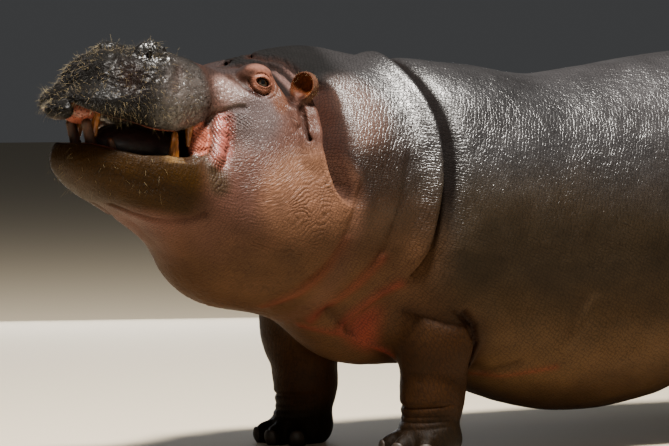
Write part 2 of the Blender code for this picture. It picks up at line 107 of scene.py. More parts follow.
def curve(*stations):
    """Smooth functions through stations, each a place along an axis and the values there."""
    rows = np.array(stations, float)
    at = rows[:, 0]
    slopes = np.gradient(rows[:, 1:], at, axis=0)
    fine = np.linspace(at[0], at[-1], 400)
    i = np.clip(np.searchsorted(at, fine, side="right") - 1, 0, len(at) - 2)
    span = (at[i + 1] - at[i])[:, None]
    t = (fine - at[i])[:, None] / span
    values = rows[i, 1:] * (1 + 2 * t) * (1 - t) ** 2
    values += rows[i + 1, 1:] * t * t * (3 - 2 * t)
    values += slopes[i] * span * t * (1 - t) ** 2
    values -= slopes[i + 1] * span * t * t * (1 - t)
    return lambda x: [np.interp(x, fine, column) for column in values.T]


def ellipsoid(p, centre, radii, turn=(0, 0, 0), square=2.0):
    """About the distance to an ellipsoid, which is boxier as square grows past 2."""
    angles = Euler([math.radians(a) for a in turn])
    q = (p - np.array(centre)) @ np.array(angles.to_matrix())
    r = np.array(radii)
    level = (np.abs(q / r) ** square).sum(axis=1) ** (1 / square) + 1e-9
    reach = np.linalg.norm(q, axis=1) + 1e-9
    slope = np.linalg.norm(q / r**2, axis=1) / (np.linalg.norm(q / r, axis=1) + 1e-9) + 1e-9
    radial = np.maximum(reach * (1 - 1 / level), -r.min())
    return 0.5 * radial + 0.5 * (level - 1) / slope


def limb(p, *stations, flat=1.0, blend=1e-6):
    """Distance to round cones in a chain through (x, y, z, radius). flat under 1 narrows it along Y."""
    nearest = np.full(len(p), 1e3)
    squeeze = np.array([1.0, 1.0 / flat, 1.0])
    for start, end in zip(stations, stations[1:]):
        a, b = np.array(start, float), np.array(end, float)
        axis = (b[:3] - a[:3]) * squeeze
        away = (p - a[:3]) * squeeze
        t = np.clip(away @ axis / (axis @ axis), 0, 1)
        radius = a[3] + (b[3] - a[3]) * t
        nearest = join(nearest, np.linalg.norm(away - t[:, None] * axis, axis=1) - radius, blend)
    return nearest


def join(a, b, width):
    """Both shapes as one, running into each other over that width."""
    h = np.clip(0.5 + 0.5 * (b - a) / width, 0, 1)
    return b + (a - b) * h - width * h * (1 - h)


def carve(a, b, width):
    """The first shape without the second, its edge rounded over that width."""
    return -join(-a, b, width)


def built(p, *forms):
    """Ellipsoids run into one: the centre, radii and join's width of each, then its turn and square."""
    f = None
    for centre, radii, width, *shape in forms:
        part = ellipsoid(p, centre, radii, *shape)
        f = part if f is None else join(f, part, width)
    return f


def mirrored(q):
    """The same points with the right side folded onto the left."""
    return np.column_stack([q[:, 0], np.abs(q[:, 1]), q[:, 2]])


def fade(x, start, end):
    """0 before start, 1 past end and smooth between."""
    t = np.clip((x - start) / (end - start), 0, 1)
    return t * t * (3 - 2 * t)


def until(x, start, end):
    """1 before start, 0 past end and smooth between."""
    return 1 - fade(x, start, end)


def only(p, where, field, elsewhere=1.0):
    """The field at the points chosen, and a far value at the rest, which saves time."""
    values = np.full(len(p), elsewhere)
    if where.any():
        values[where] = field(p[where])
    return values


def through(route):
    """The stations of a route as a limb's, with no thickness."""
    return [(*place, 0) for place in route]


def groove(p, route, deep, broad, sharp=1.3):
    """How deep a groove along a route of (x, y, z) is at each point."""
    stations = np.array(route, float)
    reach = 3.2 * broad
    low, high = stations.min(axis=0) - reach, stations.max(axis=0) + reach
    close = ((p > low) & (p < high)).all(axis=1)
    depth = np.zeros(len(p))
    if close.any():
        away = np.abs(limb(p[close], *through(route)))
        depth[close] = deep * np.exp(-((away / broad) ** sharp))
    return depth


# ---------------------------------------------------------------- trunk, neck, legs and tail

# Along X: the back's height, the belly's height, half the width, and how square the section is
# above and below its middle.
BARREL = curve(
    (-0.60, 1.33, 0.62, 0.25, 1.55, 2.1),
    (-0.35, 1.40, 0.46, 0.34, 1.6, 2.1),
    (-0.12, 1.385, 0.38, 0.405, 1.85, 2.15),
    (0.10, 1.375, 0.29, 0.455, 2.1, 2.2),
    (0.30, 1.352, 0.19, 0.485, 2.15, 2.2),
    (0.52, 1.325, 0.118, 0.51, 2.15, 2.2),
    (0.77, 1.35, 0.10, 0.52, 2.15, 2.2),
    (1.00, 1.388, 0.135, 0.51, 2.15, 2.2),
    (1.25, 1.412, 0.24, 0.47, 2.1, 2.2),
    (1.50, 1.375, 0.42, 0.40, 2.1, 2.2),
    (1.68, 1.26, 0.56, 0.30, 2.1, 2.1),
)
BARREL_ENDS = (-0.60, 1.68)
BARREL_CAPS = (0.25, 0.08)  # how far the ends run on: in front into the head, behind into the rump


def barrel(p):
    x = np.clip(p[:, 0], *BARREL_ENDS)
    top, bottom, half_width, square_above, square_below = BARREL(x)
    middle = bottom + 0.46 * (top - bottom)
    across = np.abs(p[:, 1])
    up = p[:, 2] - middle
    half_height = np.where(up > 0, top - middle, middle - bottom)
    square = np.where(up > 0, square_above, square_below)
    level = ((across / half_width) ** square + (np.abs(up) / half_height) ** square) ** (1 / square)
    reach = np.hypot(across, up)
    around = reach - reach / np.maximum(level, 1e-6)
    beyond = np.abs(p[:, 0] - x)
    cap = np.where(p[:, 0] < 0, *BARREL_CAPS)
    ends = np.hypot(np.maximum(around, 0), beyond) + np.clip(around, -cap, 0)
    return np.where(beyond > 0, ends, around)


def brisket(p):
    return ellipsoid(p, (-0.10, 0, 0.50), (0.30, 0.24, 0.20))


def rump(p):
    f = ellipsoid(p, (1.46, 0, 0.88), (0.43, 0.41, 0.49), (0, 12, 0))
    return join(f, ellipsoid(mirrored(p), (1.52, 0.24, 0.70), (0.30, 0.19, 0.36)), 0.12)


def neck(p):
    return built(
        p,
        ((-0.36, 0, 0.88), (0.37, 0.38, 0.40), 0, (0, 8, 0)),
        ((-0.60, -0.05, 0.825), (0.345, 0.28, 0.30), 0.12, (0, -25, 6)),
        ((-0.45, 0, 1.250), (0.27, 0.15, 0.135), 0.08, (0, -2, 3)),
    )


def toe_place(place, angle, reach=TOE_REACH):
    ahead, aside = math.cos(math.radians(angle)), math.sin(math.radians(angle))
    return (place[0] - 0.02 - reach * ahead, place[1] + reach * aside, 0.030)


def foot(p, place):
    """Four toes in front of a round pad."""
    x, y = place
    f = ellipsoid(p, (x - 0.01, y, 0.05), (0.115, 0.115, 0.075))
    for angle in TOE_ANGLES:
        toe = ellipsoid(p, toe_place(place, angle), (0.055, 0.038, 0.048), turn=(0, -12, -angle))
        f = join(f, toe, 0.014)
    return f


def leg(p, place, top, knee_back, knee):
    """A leg over the foot at place: top and knee are (x, height, radius) and (height, radius)."""
    x, y = place
    knee_x = 0.5 * (top[0] + x) + knee_back
    f = limb(
        p,
        (top[0], 0.93 * y, top[1], top[2]),
        (knee_x, y, *knee),
        (x + 0.4 * knee_back + 0.01, y, 0.21, 0.103),
        (x, y, 0.11, 0.098),
        blend=0.05,
    )
    return join(f, foot(p, place), 0.05)


# For each leg: the foot, then where it starts, how far back the knee is and the knee, as leg has them.
LEGS = (
    (FOOT_FRONT_LEFT, (SHOULDER_LEFT, 0.70, 0.20), 0.0, (0.40, 0.138)),
    (FOOT_FRONT_RIGHT, (SHOULDER_RIGHT, 0.70, 0.20), 0.0, (0.40, 0.138)),
    (FOOT_HIND_LEFT, (HIP_LEFT, 0.66, 0.20), 0.05, (0.38, 0.130)),
    (FOOT_HIND_RIGHT, (HIP_RIGHT, 0.66, 0.20), 0.05, (0.38, 0.130)),
)


def legs(p):
    return np.minimum.reduce([leg(p, *measures) for measures in LEGS])


# Round the ankles: the height of each crease, how deep and how broad.
ANKLE_CREASES = (
    (0.182, 0.010, 0.008), (0.150, 0.004, 0.006), (0.128, 0.005, 0.006), (0.106, 0.004, 0.006),
)


def ankle_creases(p):
    """Creases across the front of each ankle."""
    depth = np.zeros(len(p))
    low = p[:, 2] < 0.26
    for x, y in FEET:
        by = low & (np.hypot(p[:, 0] - x, p[:, 1] - y) < 0.2)
        if not by.any():
            continue
        q = p[by]
        ahead = fade(x - q[:, 0], -0.06, 0.04)
        sag = 0.10 * (q[:, 0] - x)
        for height, deep, broad in ANKLE_CREASES:
            away = q[:, 2] - height - sag
            depth[by] += deep * np.exp(-np.abs(away / broad) ** 1.3) * ahead
    return depth


def tail(p):
    """Thick at the root, hanging, and flattened towards its end."""
    return limb(
        p,
        (1.80, 0, 1.04, 0.065),
        (1.895, 0, 0.94, 0.055),
        (1.925, 0, 0.80, 0.040),
        (1.930, 0, 0.68, 0.034),
        (1.925, 0, 0.58, 0.022),
        flat=0.75,
        blend=0.02,
    )


# The folds behind the head, front to back: the line each follows, as X against height, then how
# deep and how broad it is, how many times broader behind, the heights that it runs between, and how
# far it is tucked under the skin in front of it.
FOLDS = (
    (
        curve((0.45, -0.68), (0.56, -0.555), (0.66, -0.442), (0.77, -0.378), (0.92, -0.318),
              (1.13, -0.242), (1.3, -0.20)),
        (0.007, 0.022, 1.6, 0.50, 1.02, 0.8),
    ),
    (
        curve((0.45, -0.43), (0.53, -0.37), (0.66, -0.284), (0.787, -0.203), (0.915, -0.160),
              (1.2, -0.095)),
        (0.005, 0.018, 1.8, 0.50, 1.10, 0.7),
    ),
    (
        curve((0.50, -0.18), (0.68, -0.084), (0.85, -0.027), (1.05, 0.004), (1.22, -0.004),
              (1.38, -0.055)),
        (0.056, 0.019, 2.0, 0.58, 1.60, 1.0),
    ),
)
SWELL = 0.34  # how far the skin in front of a fold stands out, over the fold's depth


def folds(p, f):
    """How deep the neck's folds go at each point, f being the field without them."""
    depth = np.zeros(len(p))
    for route, (deep, broad, behind, low, high, tuck) in FOLDS:
        away = p[:, 0] - route(p[:, 2])[0] - tuck * np.clip(f, -0.05, 0.03)
        cut = np.exp(-(np.abs(away / np.where(away < 0, 0.5 * broad, behind * broad)) ** 1.6))
        swell = SWELL * np.exp(-(((away + 2.3 * broad) / (1.5 * broad)) ** 2))
        runs = fade(p[:, 2], low, low + 0.14) * until(p[:, 2], high - 0.1, high)
        depth += deep * (cut - swell) * runs
    return depth


# Creases of the body, seen from the side, as (X, Z) with how deep and how broad each is. Each is
# pressed into both sides.
SIDE_CREASES = (
    (((-0.256, 0.435), (-0.363, 0.522), (-0.405, 0.465)), 0.012, 0.014),
    (((-0.11, 0.515), (-0.008, 0.472), (0.060, 0.46)), 0.011, 0.020),
    (((0.07, 0.50), (0.115, 0.455), (0.140, 0.39), (0.128, 0.32)), 0.030, 0.014),
    (((0.03, 0.515), (0.075, 0.47), (0.105, 0.415)), 0.010, 0.009),
    (((0.135, 0.288), (0.20, 0.300), (0.246, 0.280), (0.322, 0.312)), 0.009, 0.014),
    (((0.496, 0.54), (0.45, 0.441), (0.402, 0.376), (0.36, 0.33)), 0.003, 0.024),
    (((1.16, 0.62), (1.18, 0.50), (1.22, 0.40), (1.27, 0.33)), 0.022, 0.022),
    (((1.60, 0.40), (1.66, 0.52), (1.68, 0.66)), 0.010, 0.018),
)


def side_creases(p):
    depth = np.zeros(len(p))
    beside = fade(np.abs(p[:, 1]), 0.12, 0.22)
    flat = p * (1, 0, 1)
    for route, deep, broad in SIDE_CREASES:
        depth += groove(flat, [(x, 0, z) for x, z in route], deep, broad, 1.5) * beside
    return depth


# Folds of the chest, the flank and the belly that stand out: the route on the left side, how high
# and how broad each is and how red.
RIDGES = (
    (((-0.576, 0.163, 0.534), (-0.535, 0.211, 0.552), (-0.491, 0.251, 0.577), (-0.452, 0.294, 0.619),
      (-0.414, 0.325, 0.667), (-0.366, 0.364, 0.766)), 0.013, 0.016, 0.34),
    (((-0.389, 0.146, 0.474), (-0.385, 0.185, 0.497), (-0.378, 0.214, 0.520), (-0.348, 0.255, 0.556),
      (-0.294, 0.312, 0.609), (-0.227, 0.367, 0.695)), 0.017, 0.016, 0.48),
    (((-0.295, 0.188, 0.446), (-0.279, 0.231, 0.494), (-0.247, 0.267, 0.529), (-0.204, 0.310, 0.572),
      (-0.147, 0.348, 0.606)), 0.017, 0.016, 0.52),
    (((-0.402, 0.094, 0.454), (-0.289, 0.176, 0.428), (-0.198, 0.188, 0.391),
      (-0.089, 0.190, 0.345)), 0.008, 0.014, 0.45),
    (((0.535, 0.501, 0.536), (0.513, 0.484, 0.473), (0.490, 0.463, 0.423), (0.458, 0.429, 0.366)),
     0.008, 0.016, 0.0),
    (((0.220, 0.201, 0.272), (0.297, 0.265, 0.267), (0.379, 0.333, 0.283), (0.455, 0.376, 0.298)),
     0.006, 0.012, 0.45),
)
RIDGES_WITHIN = ((-0.66, -1, 0.2), (0.62, 1, 0.85))  # the box that they all lie in


def ridges(p):
    """How far those folds lift the skin and how red they are."""
    rise, red = np.zeros(len(p)), np.zeros(len(p))
    close = ((p > RIDGES_WITHIN[0]) & (p < RIDGES_WITHIN[1])).all(axis=1)
    m = mirrored(p[close])
    for route, high, broad, redness in RIDGES:
        lift = groove(m, route, high, broad, 1.6)
        rise[close] += lift
        red[close] += redness * lift / high
    return rise, red


# ---------------------------------------------------------------- head


def head_axes():
    """Forward, left and up of the head, as rows."""
    turn, lift = math.radians(HEAD_TURN), math.radians(HEAD_LIFT)
    level = np.array([-math.cos(turn), -math.sin(turn), 0])
    forward = level * math.cos(lift) + np.array([0, 0, math.sin(lift)])
    left = np.cross([0, 0, 1], level)
    return np.array([forward, left, np.cross(forward, left)])


HEAD_AXES = head_axes()


def to_head(p):
    return (p - np.array(HEAD_PLACE)) @ HEAD_AXES.T


def from_head(place, side=1):
    """A place in the head's axes, on its left side or with side -1 on its right."""
    forward, outward, up = place
    return Vector(np.array([forward, side * outward, up]) @ HEAD_AXES + np.array(HEAD_PLACE))


def upper_head(h):
    """The cranium, the cheek, the bridge, the muzzle, its pad and front, nostril, brow and ear's base."""
    m = mirrored(h)
    to_cheek = fade(-m[:, 0], -0.54, -0.42)
    return built(
        m,
        ((0.04, 0, -0.17), (0.26, 0.20, 0.19), 0),
        ((0.14, 0.10, -0.25), (0.21, 0.135, 0.17), 0.08),
        ((0.36, 0, -0.145), (0.28, 0.145, 0.120), 0.10, (0, 0, 0), 2.3),
        ((0.633, 0, -0.152), (0.214, 0.205, 0.133), 0.06 + 0.03 * to_cheek, (0, 10, 0), 2.5),
        ((0.596, 0.122, -0.190), (0.150, 0.106, 0.115), 0.03 + 0.07 * to_cheek, (0, 0, 6)),
        ((0.765, 0.075, -0.228), (0.128, 0.135, 0.065), 0.05, (0, 8, -12)),
        ((0.635, 0.108, -0.055), (0.060, 0.047, 0.056), 0.03),
        ((0.205, 0.114, -0.060), (0.078, 0.056, 0.066), 0.022),
        ((EAR_ROOT[0], EAR_ROOT[1] - 0.02, EAR_ROOT[2] - 0.01), (0.050, 0.035, 0.060), 0.03),
    )


def lower_jaw(h):
    """The chin, the lip's side, the jaw's bone, its corner and the throat between."""
    return built(
        mirrored(h),
        ((0.61, 0, -0.450), (0.245, 0.195, 0.110), 0, (0, -16, 0), 2.5),
        ((0.53, 0.12, -0.43), (0.16, 0.10, 0.10), 0.05, (0, -6, 0)),
        ((0.30, 0.08, -0.46), (0.26, 0.15, 0.17), 0.10),
        ((0.12, 0.13, -0.44), (0.24, 0.150, 0.24), 0.10),
        ((0.36, 0, -0.55), (0.14, 0.15, 0.105), 0.06),
    )


def closed_head(h):
    return join(upper_head(h), lower_jaw(h), 0.03)


# Along the head: the heights of the upper and the lower lip's edge at the sides.
LIPS = curve(
    (0.40, -0.318, -0.322),
    (0.46, -0.285, -0.365),
    (0.52, -0.285, -0.375),
    (0.62, -0.290, -0.378),
    (0.74, -0.288, -0.380),
    (1.00, -0.285, -0.380),
)
LIP_ARCH = (0.050, 0.032)  # how much higher the lips' edges are at the front of the mouth


def mouth(h):
    """The gap between the lips and the hollow inside them."""
    upper, lower = LIPS(h[:, 0])
    arch = fade(h[:, 0], 0.60, 0.80) * np.clip(1 - (h[:, 1] / 0.18) ** 2, 0, 1)
    upper = upper + LIP_ARCH[0] * arch
    lower = lower + LIP_ARCH[1] * arch
    gap = np.maximum(np.maximum(h[:, 2] - upper, lower - h[:, 2]), MOUTH_CORNER - h[:, 0])
    inside = ellipsoid(h, (0.61, 0, -0.325), (0.235, 0.150, 0.105), square=2.4)
    return join(gap, inside, 0.03)


def palate(h):
    return ellipsoid(h, (0.640, 0, -0.190), (0.170, 0.110, 0.060))


# Lines of the face in the head's axes, on its left side and mirrored on its right: the route, how
# deep, how broad and how sharp.
FACE_LINES = (
    # the corner of the mouth, and the valley behind its swelling
    (((0.284, 0.186, -0.158), (0.300, 0.180, -0.160), (0.332, 0.168, -0.173), (0.364, 0.154, -0.190),
      (0.384, 0.146, -0.214), (0.404, 0.135, -0.245)), 0.036, 0.0068, 1.6),
    (((0.334, 0.170, -0.196), (0.322, 0.174, -0.240), (0.321, 0.184, -0.290), (0.340, 0.205, -0.345),
      (0.365, 0.222, -0.385)), 0.006, 0.015, 1.6),
    # behind the muzzle's pad, and the dimple in its side
    (((0.42, 0.05, -0.035), (0.408, 0.100, -0.045), (0.396, 0.135, -0.075), (0.388, 0.150, -0.117),
      (0.384, 0.156, -0.167), (0.390, 0.152, -0.200)), 0.003, 0.026, 2.0),
    (((0.560, 0.185, -0.075), (0.576, 0.208, -0.105), (0.592, 0.224, -0.145)), 0.010, 0.020, 2.0),
    # over the crown to the front of the ear: three folds, the last one behind the brow
    (((0.160, 0, 0.042), (0.143, 0.010, 0.046), (0.125, 0.043, 0.042), (0.094, 0.062, 0.046),
      (0.071, 0.088, 0.038), (0.059, 0.112, 0.023), (0.045, 0.135, 0.006), (0.030, 0.155, -0.010)),
     0.024, 0.0120, 1.4),
    (((0.244, 0.024, -0.005), (0.222, 0.034, 0.002), (0.195, 0.045, 0.009), (0.165, 0.060, 0.014),
      (0.140, 0.072, 0.018), (0.124, 0.090, 0.012), (0.106, 0.106, 0.008), (0.090, 0.124, -0.001),
      (0.078, 0.143, -0.015), (0.069, 0.158, -0.028)), 0.022, 0.0100, 1.4),
    (((0.240, 0.035, -0.004), (0.205, 0.062, 0.002), (0.165, 0.078, 0.010), (0.152, 0.106, 0.000),
      (0.150, 0.134, -0.016), (0.136, 0.153, -0.039), (0.123, 0.168, -0.056), (0.119, 0.192, -0.078),
      (0.117, 0.210, -0.100)), 0.020, 0.0090, 1.4),
    # under the lower lid
    (((0.276, 0.151, -0.078), (0.261, 0.162, -0.092), (0.243, 0.174, -0.104), (0.223, 0.182, -0.109),
      (0.203, 0.184, -0.103)), 0.006, 0.0070, 1.6),
    # in front of the ear's lobe
    (((0.084, 0.225, -0.118), (0.080, 0.248, -0.160), (0.075, 0.270, -0.205), (0.069, 0.286, -0.230)),
     0.022, 0.0100, 1.6),
    # under the jaw
    (((0.662, 0.052, -0.548), (0.601, 0.075, -0.564), (0.549, 0.117, -0.575), (0.496, 0.156, -0.576),
      (0.441, 0.189, -0.560), (0.402, 0.213, -0.530)), 0.010, 0.013, 1.6),
)
# Hollows of the face: place, radii and depth; a negative depth is a swelling.
FACE_DENTS = (
    ((0.276, 0.150, -0.066), (0.024, 0.030, 0.017), 0.015),  # the inner corner of the eye
    ((0.300, 0.128, -0.050), (0.034, 0.034, 0.020), 0.008),
    ((0.106, 0.205, -0.112), (0.012, 0.030, 0.022), 0.018),  # the ear's passage
    ((0.255, 0.172, -0.120), (0.060, 0.040, 0.026), -0.007),  # the ridge under the eye
    ((0.148, 0.180, -0.090), (0.020, 0.040, 0.060), -0.005),  # the smooth strip behind it
    ((0.735, 0.150, -0.150), (0.050, 0.060, 0.060), 0.010),  # the muzzle's front
    ((0.660, 0, -0.005), (0.070, 0.045, 0.040), 0.016),  # between the mounds of the nostrils
)


# The sharp edge behind the cheek and the ear: how far forward it is, against the height.
CHEEK_EDGE = curve((-0.43, -0.050), (-0.38, -0.008), (-0.352, 0.004), (-0.318, 0.017),
                   (-0.262, 0.034), (-0.157, 0.032), (-0.05, 0.036), (0.05, 0.030))


def behind_cheek(m):
    """How far behind the cheek's edge a point is, and how much of the valley there runs past it."""
    past = CHEEK_EDGE(m[:, 2])[0] - m[:, 0]
    runs = fade(m[:, 2], -0.44, -0.36) * until(m[:, 2], -0.05, 0.0) * fade(m[:, 1], 0.08, 0.16)
    return past, runs


def cheek_valley(m):
    past, runs = behind_cheek(m)
    wall = fade(past, -0.002, 0.018) * np.exp(-((np.clip(past - 0.022, 0, None) / 0.050) ** 1.5))
    edge = np.exp(-(((past + 0.012) / 0.012) ** 2))
    return (0.046 * wall - 0.005 * edge) * runs


def face_lines(m):
    depth = cheek_valley(m)
    for route, deep, broad, sharp in FACE_LINES:
        depth += groove(m, route, deep, broad, sharp)
    for place, radii, deep in FACE_DENTS:
        depth += deep * np.exp(-(((m - np.array(place)) / np.array(radii)) ** 2).sum(axis=1))
    return depth


def lobes(m):
    """The fold of skin that hangs below each ear, the flap before it and the mouth's corner."""
    hanging = limb(m, (0.066, 0.205, -0.100, 0.026), (0.050, 0.232, -0.155, 0.032),
                   (0.048, 0.264, -0.220, 0.033), (0.048, 0.292, -0.285, 0.022), blend=0.01)
    flap = limb(m, (0.113, 0.222, -0.138, 0.011), (0.098, 0.238, -0.176, 0.009))
    corner = limb(m, (0.346, 0.146, -0.206, 0.026), (0.346, 0.148, -0.248, 0.036),
                  (0.350, 0.156, -0.295, 0.038), (0.372, 0.180, -0.345, 0.034),
                  (0.396, 0.200, -0.378, 0.022), blend=0.01)
    return np.minimum(np.minimum(hanging, flap), corner)


def corner_flesh(m):
    """The wrinkled flesh between the jaws, just inside the corner of the mouth."""
    return limb(m, (0.396, 0.116, -0.235, 0.022), (0.410, 0.124, -0.275, 0.029),
                (0.416, 0.132, -0.315, 0.030), (0.426, 0.146, -0.352, 0.018), blend=0.01)


# The eye's own axes in the head's: out of the eye, towards its inner corner, up.
EYE_OUT = Vector((0.33, 0.93, 0.12)).normalized()
EYE_IN = (Vector((1, 0, 0.22)) - Vector((1, 0, 0.22)).project(EYE_OUT)).normalized()
EYE_AXES = np.array([EYE_OUT, EYE_IN, EYE_OUT.cross(-EYE_IN)])
if EYE_AXES[2, 2] < 0:
    EYE_AXES[2] *= -1
LID = 0.008  # how thick the lids are
OPENING = (0.0240, 0.0150)  # half the width and the height between the lids

# Rolls of the lids: distance from the eye's axis, height along it, thickness, the middle of the
# arc each spans as degrees up from the inner corner's direction, and how far to each side.
LID_ROLLS = (
    (0.0215, 0.0200, 0.0062, 95, 75),
    (0.0265, 0.0185, 0.0088, -78, 78),
)
# Rings round the eye: radius, depth, breadth, and the arc each spans in the same way.
EYE_RINGS = (
    (0.0300, 0.0060, 0.0026, 100, 78),
    (0.0390, 0.0095, 0.0036, -75, 85),
    (0.0450, 0.0030, 0.0030, 160, 45),
    (0.0560, 0.0030, 0.0040, 200, 45),
)


def within_arc(angle, middle, half, start):
    """How far each angle is from an arc's middle, and how far past the arc, from 0 to 1."""
    off = np.abs((angle - middle + 180) % 360 - 180)
    return off, fade(off, start * half, half)


def eyelids(f, m):
    """Lids round the eye, with their rings, on the head's field f."""
    q = (m - np.array(EYE)) @ EYE_AXES.T
    close = np.linalg.norm(q, axis=1) < 0.13
    if not close.any():
        return f
    q = q[close]
    out, inward, up = q.T
    g = f[close]
    g = join(g, ellipsoid(q, (0, 0.003, 0), (EYE_RADIUS + LID, 0.041, 0.036)), 0.012)
    g = join(g, ellipsoid(m[close], (0.214, 0.134, -0.024), (0.050, 0.034, 0.026)), 0.010)
    radius = np.hypot(inward / 1.15, up)
    angle = np.degrees(np.arctan2(up, inward))
    before = fade(out, -0.03, 0.0)
    for ring, deep, broad, middle, span in EYE_RINGS:
        _, ended = within_arc(angle, middle, span, 0.7)
        g = g + deep * np.exp(-np.abs((radius - ring) / broad) ** 1.5) * (1 - ended) * before
    level = np.hypot(inward / OPENING[0], up / OPENING[1])
    gap = np.maximum((level - 1) * OPENING[1], 0.008 - out)
    g = carve(g, gap, 0.003)
    for ring, height, thick, middle, span in LID_ROLLS:
        off, ended = within_arc(angle, middle, span, 0.4)
        roll = np.hypot(radius - ring, out - height) - thick * (1 - 0.6 * ended)
        g = join(g, np.where(off < span, roll, 1.0), 0.003)
    f = f.copy()
    f[close] = g
    return f


NOSTRIL = (
    (0.672, 0.156, -0.066, 0.003), (0.667, 0.150, -0.044, 0.005), (0.650, 0.142, -0.028, 0.006),
    (0.630, 0.142, -0.026, 0.005), (0.614, 0.148, -0.038, 0.003),
)


def nostrils(f, m):
    """A curved slit, round a plug, that opens upward and outward on each mound of the muzzle."""
    f = join(f, ellipsoid(m, (0.648, 0.118, -0.042), (0.054, 0.042, 0.038)), 0.010)
    f = carve(f, limb(m, *NOSTRIL), 0.006)
    return join(f, ellipsoid(m, (0.644, 0.151, -0.048), (0.020, 0.015, 0.017)), 0.004)


def gums(m):
    """Where the teeth grow: the pink lobe of the upper jaw and the ridges that carry the teeth."""
    f = ellipsoid(m, (0.812, 0, -0.262), (0.054, 0.062, 0.040))
    above = limb(m, (0.70, 0.10, -0.225, 0.03), (0.60, 0.135, -0.235, 0.028), (0.50, 0.14, -0.235, 0.028))
    below = limb(m, (0.79, 0.03, -0.400, 0.028), (0.70, 0.11, -0.415, 0.032),
                 (0.56, 0.145, -0.415, 0.034), (0.46, 0.13, -0.395, 0.034))
    return np.minimum(join(f, above, 0.02), below)


def lip_tip(m):
    """The blunt end of the upper lip, which hangs in front of the gums."""
    return ellipsoid(m, (0.886, 0, -0.270), (0.030, 0.072, 0.032), turn=(0, 20, 0), square=2.2)


def lip_roll(m):
    """The lower lip's thick rolled edge near the corner of the mouth."""
    return limb(m, (0.640, 0.186, -0.386, 0.008), (0.566, 0.192, -0.380, 0.014),
                (0.510, 0.188, -0.378, 0.016), (0.456, 0.166, -0.366, 0.015),
                (0.424, 0.152, -0.344, 0.012), (0.402, 0.140, -0.318, 0.008), blend=0.004)


def ear(p):
    """A leaf-like cup on a short stem, along +Z and open towards -Y, thickest at its outer edge."""
    f = ellipsoid(p, (0.002, 0, 0.084), (0.050, 0.030, 0.051))
    f = join(f, limb(p, (0, 0.004, -0.03, 0.028), (0, 0.002, 0.05, 0.022)), 0.02)
    f = carve(f, ellipsoid(p, (-0.006, -0.030, 0.084), (0.045, 0.048, 0.047)), 0.006)
    f = carve(f, ellipsoid(p, (-0.008, -0.030, 0.046), (0.022, 0.027, 0.034)), 0.008)
    return join(f, limb(p, (-0.012, 0.014, 0.055, 0.003), (-0.014, 0.014, 0.108, 0.0015)), 0.008)


def standing(x, y, z, place):
    """The matrix of a thing at a place with those axes."""
    matrix = Matrix((x, y, z)).transposed().to_4x4()
    matrix.translation = place
    return matrix


def ear_matrix(side):
    """Where an ear stands: rising and leaning outward, its cup turned forward and outward."""
    forward, left, up = (Vector(row) for row in HEAD_AXES)
    outward = side * left
    rise = (up + 0.22 * outward - 0.10 * forward).normalized()
    back = -(0.86 * forward + 0.51 * outward)
    back = (back - back.project(rise)).normalized()
    return standing(side * back.cross(rise), back, rise, from_head(EAR_ROOT, side))


HEAD_MATRIX = standing(*(Vector(row) for row in HEAD_AXES), Vector(HEAD_PLACE))


EAR_SPAN = 0.16  # nothing of an ear is further than this from its root
EAR_INVERSES = [np.array(ear_matrix(side).inverted()) for side in (1, -1)]


def in_ears(p):
    """The points in each ear's own axes."""
    return [p @ inverse[:3, :3].T + inverse[:3, 3] for inverse in EAR_INVERSES]


def ears(p):
    """Both ears, in the animal's axes."""
    f = np.full(len(p), 1.0)
    for q in in_ears(p):
        close = np.linalg.norm(q - np.array([0, 0, 0.04]), axis=1) < EAR_SPAN
        f = np.minimum(f, only(q, close, ear))
    return f


def tusk(p):
    """A lower canine in the head's axes, on the left side."""
    bend = [0.5 * (a + b) + c for a, b, c in zip(TUSK_ROOT, TUSK_TIP, (0.012, 0.012, 0))]
    stations = (*TUSK_ROOT, TUSK_RADIUS), (*bend, 0.95 * TUSK_RADIUS), (*TUSK_TIP, 0.55 * TUSK_RADIUS)
    return limb(p, *stations)


def tongue(p):
    f = ellipsoid(p, TONGUE, (0.190, 0.115, 0.088))
    return f + 0.004 * np.exp(-((p[:, 1] / 0.012) ** 2))


def head_field(h):
    m = mirrored(h)
    f = join(closed_head(h), lobes(m), 0.014)
    return nostrils(eyelids(f, m), m)


def flesh(p):
    """The skin's field over the left front foot."""
    x, _, z = p.T
    f = join(barrel(p), only(p, x < 0.25, neck), 0.12)
    f = join(f, only(p, x > 0.75, rump), 0.12)
    f = join(f, only(p, (x < 0.4) & (z < 0.9), brisket), 0.08)
    f = join(f, only(p, x > 1.6, tail), 0.03)
    ahead = x < -0.05
    if ahead.any():
        h = to_head(p[ahead])
        m = mirrored(h)
        g = join(f[ahead], head_field(h), 0.06) + face_lines(m)
        g = join(g, ears(p[ahead]), 0.012)
        g = carve(g, mouth(h), 0.016)
        inner = ((palate(h), 0.02), (lip_tip(h), 0.016), (corner_flesh(m), 0.018), (gums(m), 0.010))
        for part, width in (*inner, (lip_roll(m), 0.007)):
            g = join(g, part, width)
        f[ahead] = g
    by_folds = (x > -0.75) & (x < 0.3)
    f[by_folds] += folds(p[by_folds], f[by_folds])
    f = join(f, only(p, z < 1.05, legs), 0.06)
    f = f + side_creases(p) + ankle_creases(p) - ridges(p)[0]
    return np.maximum(f, -z)


# ---------------------------------------------------------------- meshes


def spread(field, points):
    """The field at many points, worked out in chunks side by side."""
    chunks = [points[i : i + CHUNK] for i in range(0, len(points), CHUNK)]
    with ThreadPoolExecutor(WORKERS) as pool:
        return np.concatenate(list(pool.map(field, chunks)))


def marks(low, high, step_at):
    """Sample places along an axis, in whole blocks."""
    places = [low]
    while places[-1] < high or len(places) % BLOCK:
        places.append(places[-1] + step_at(places[-1]))
    return np.array(places)


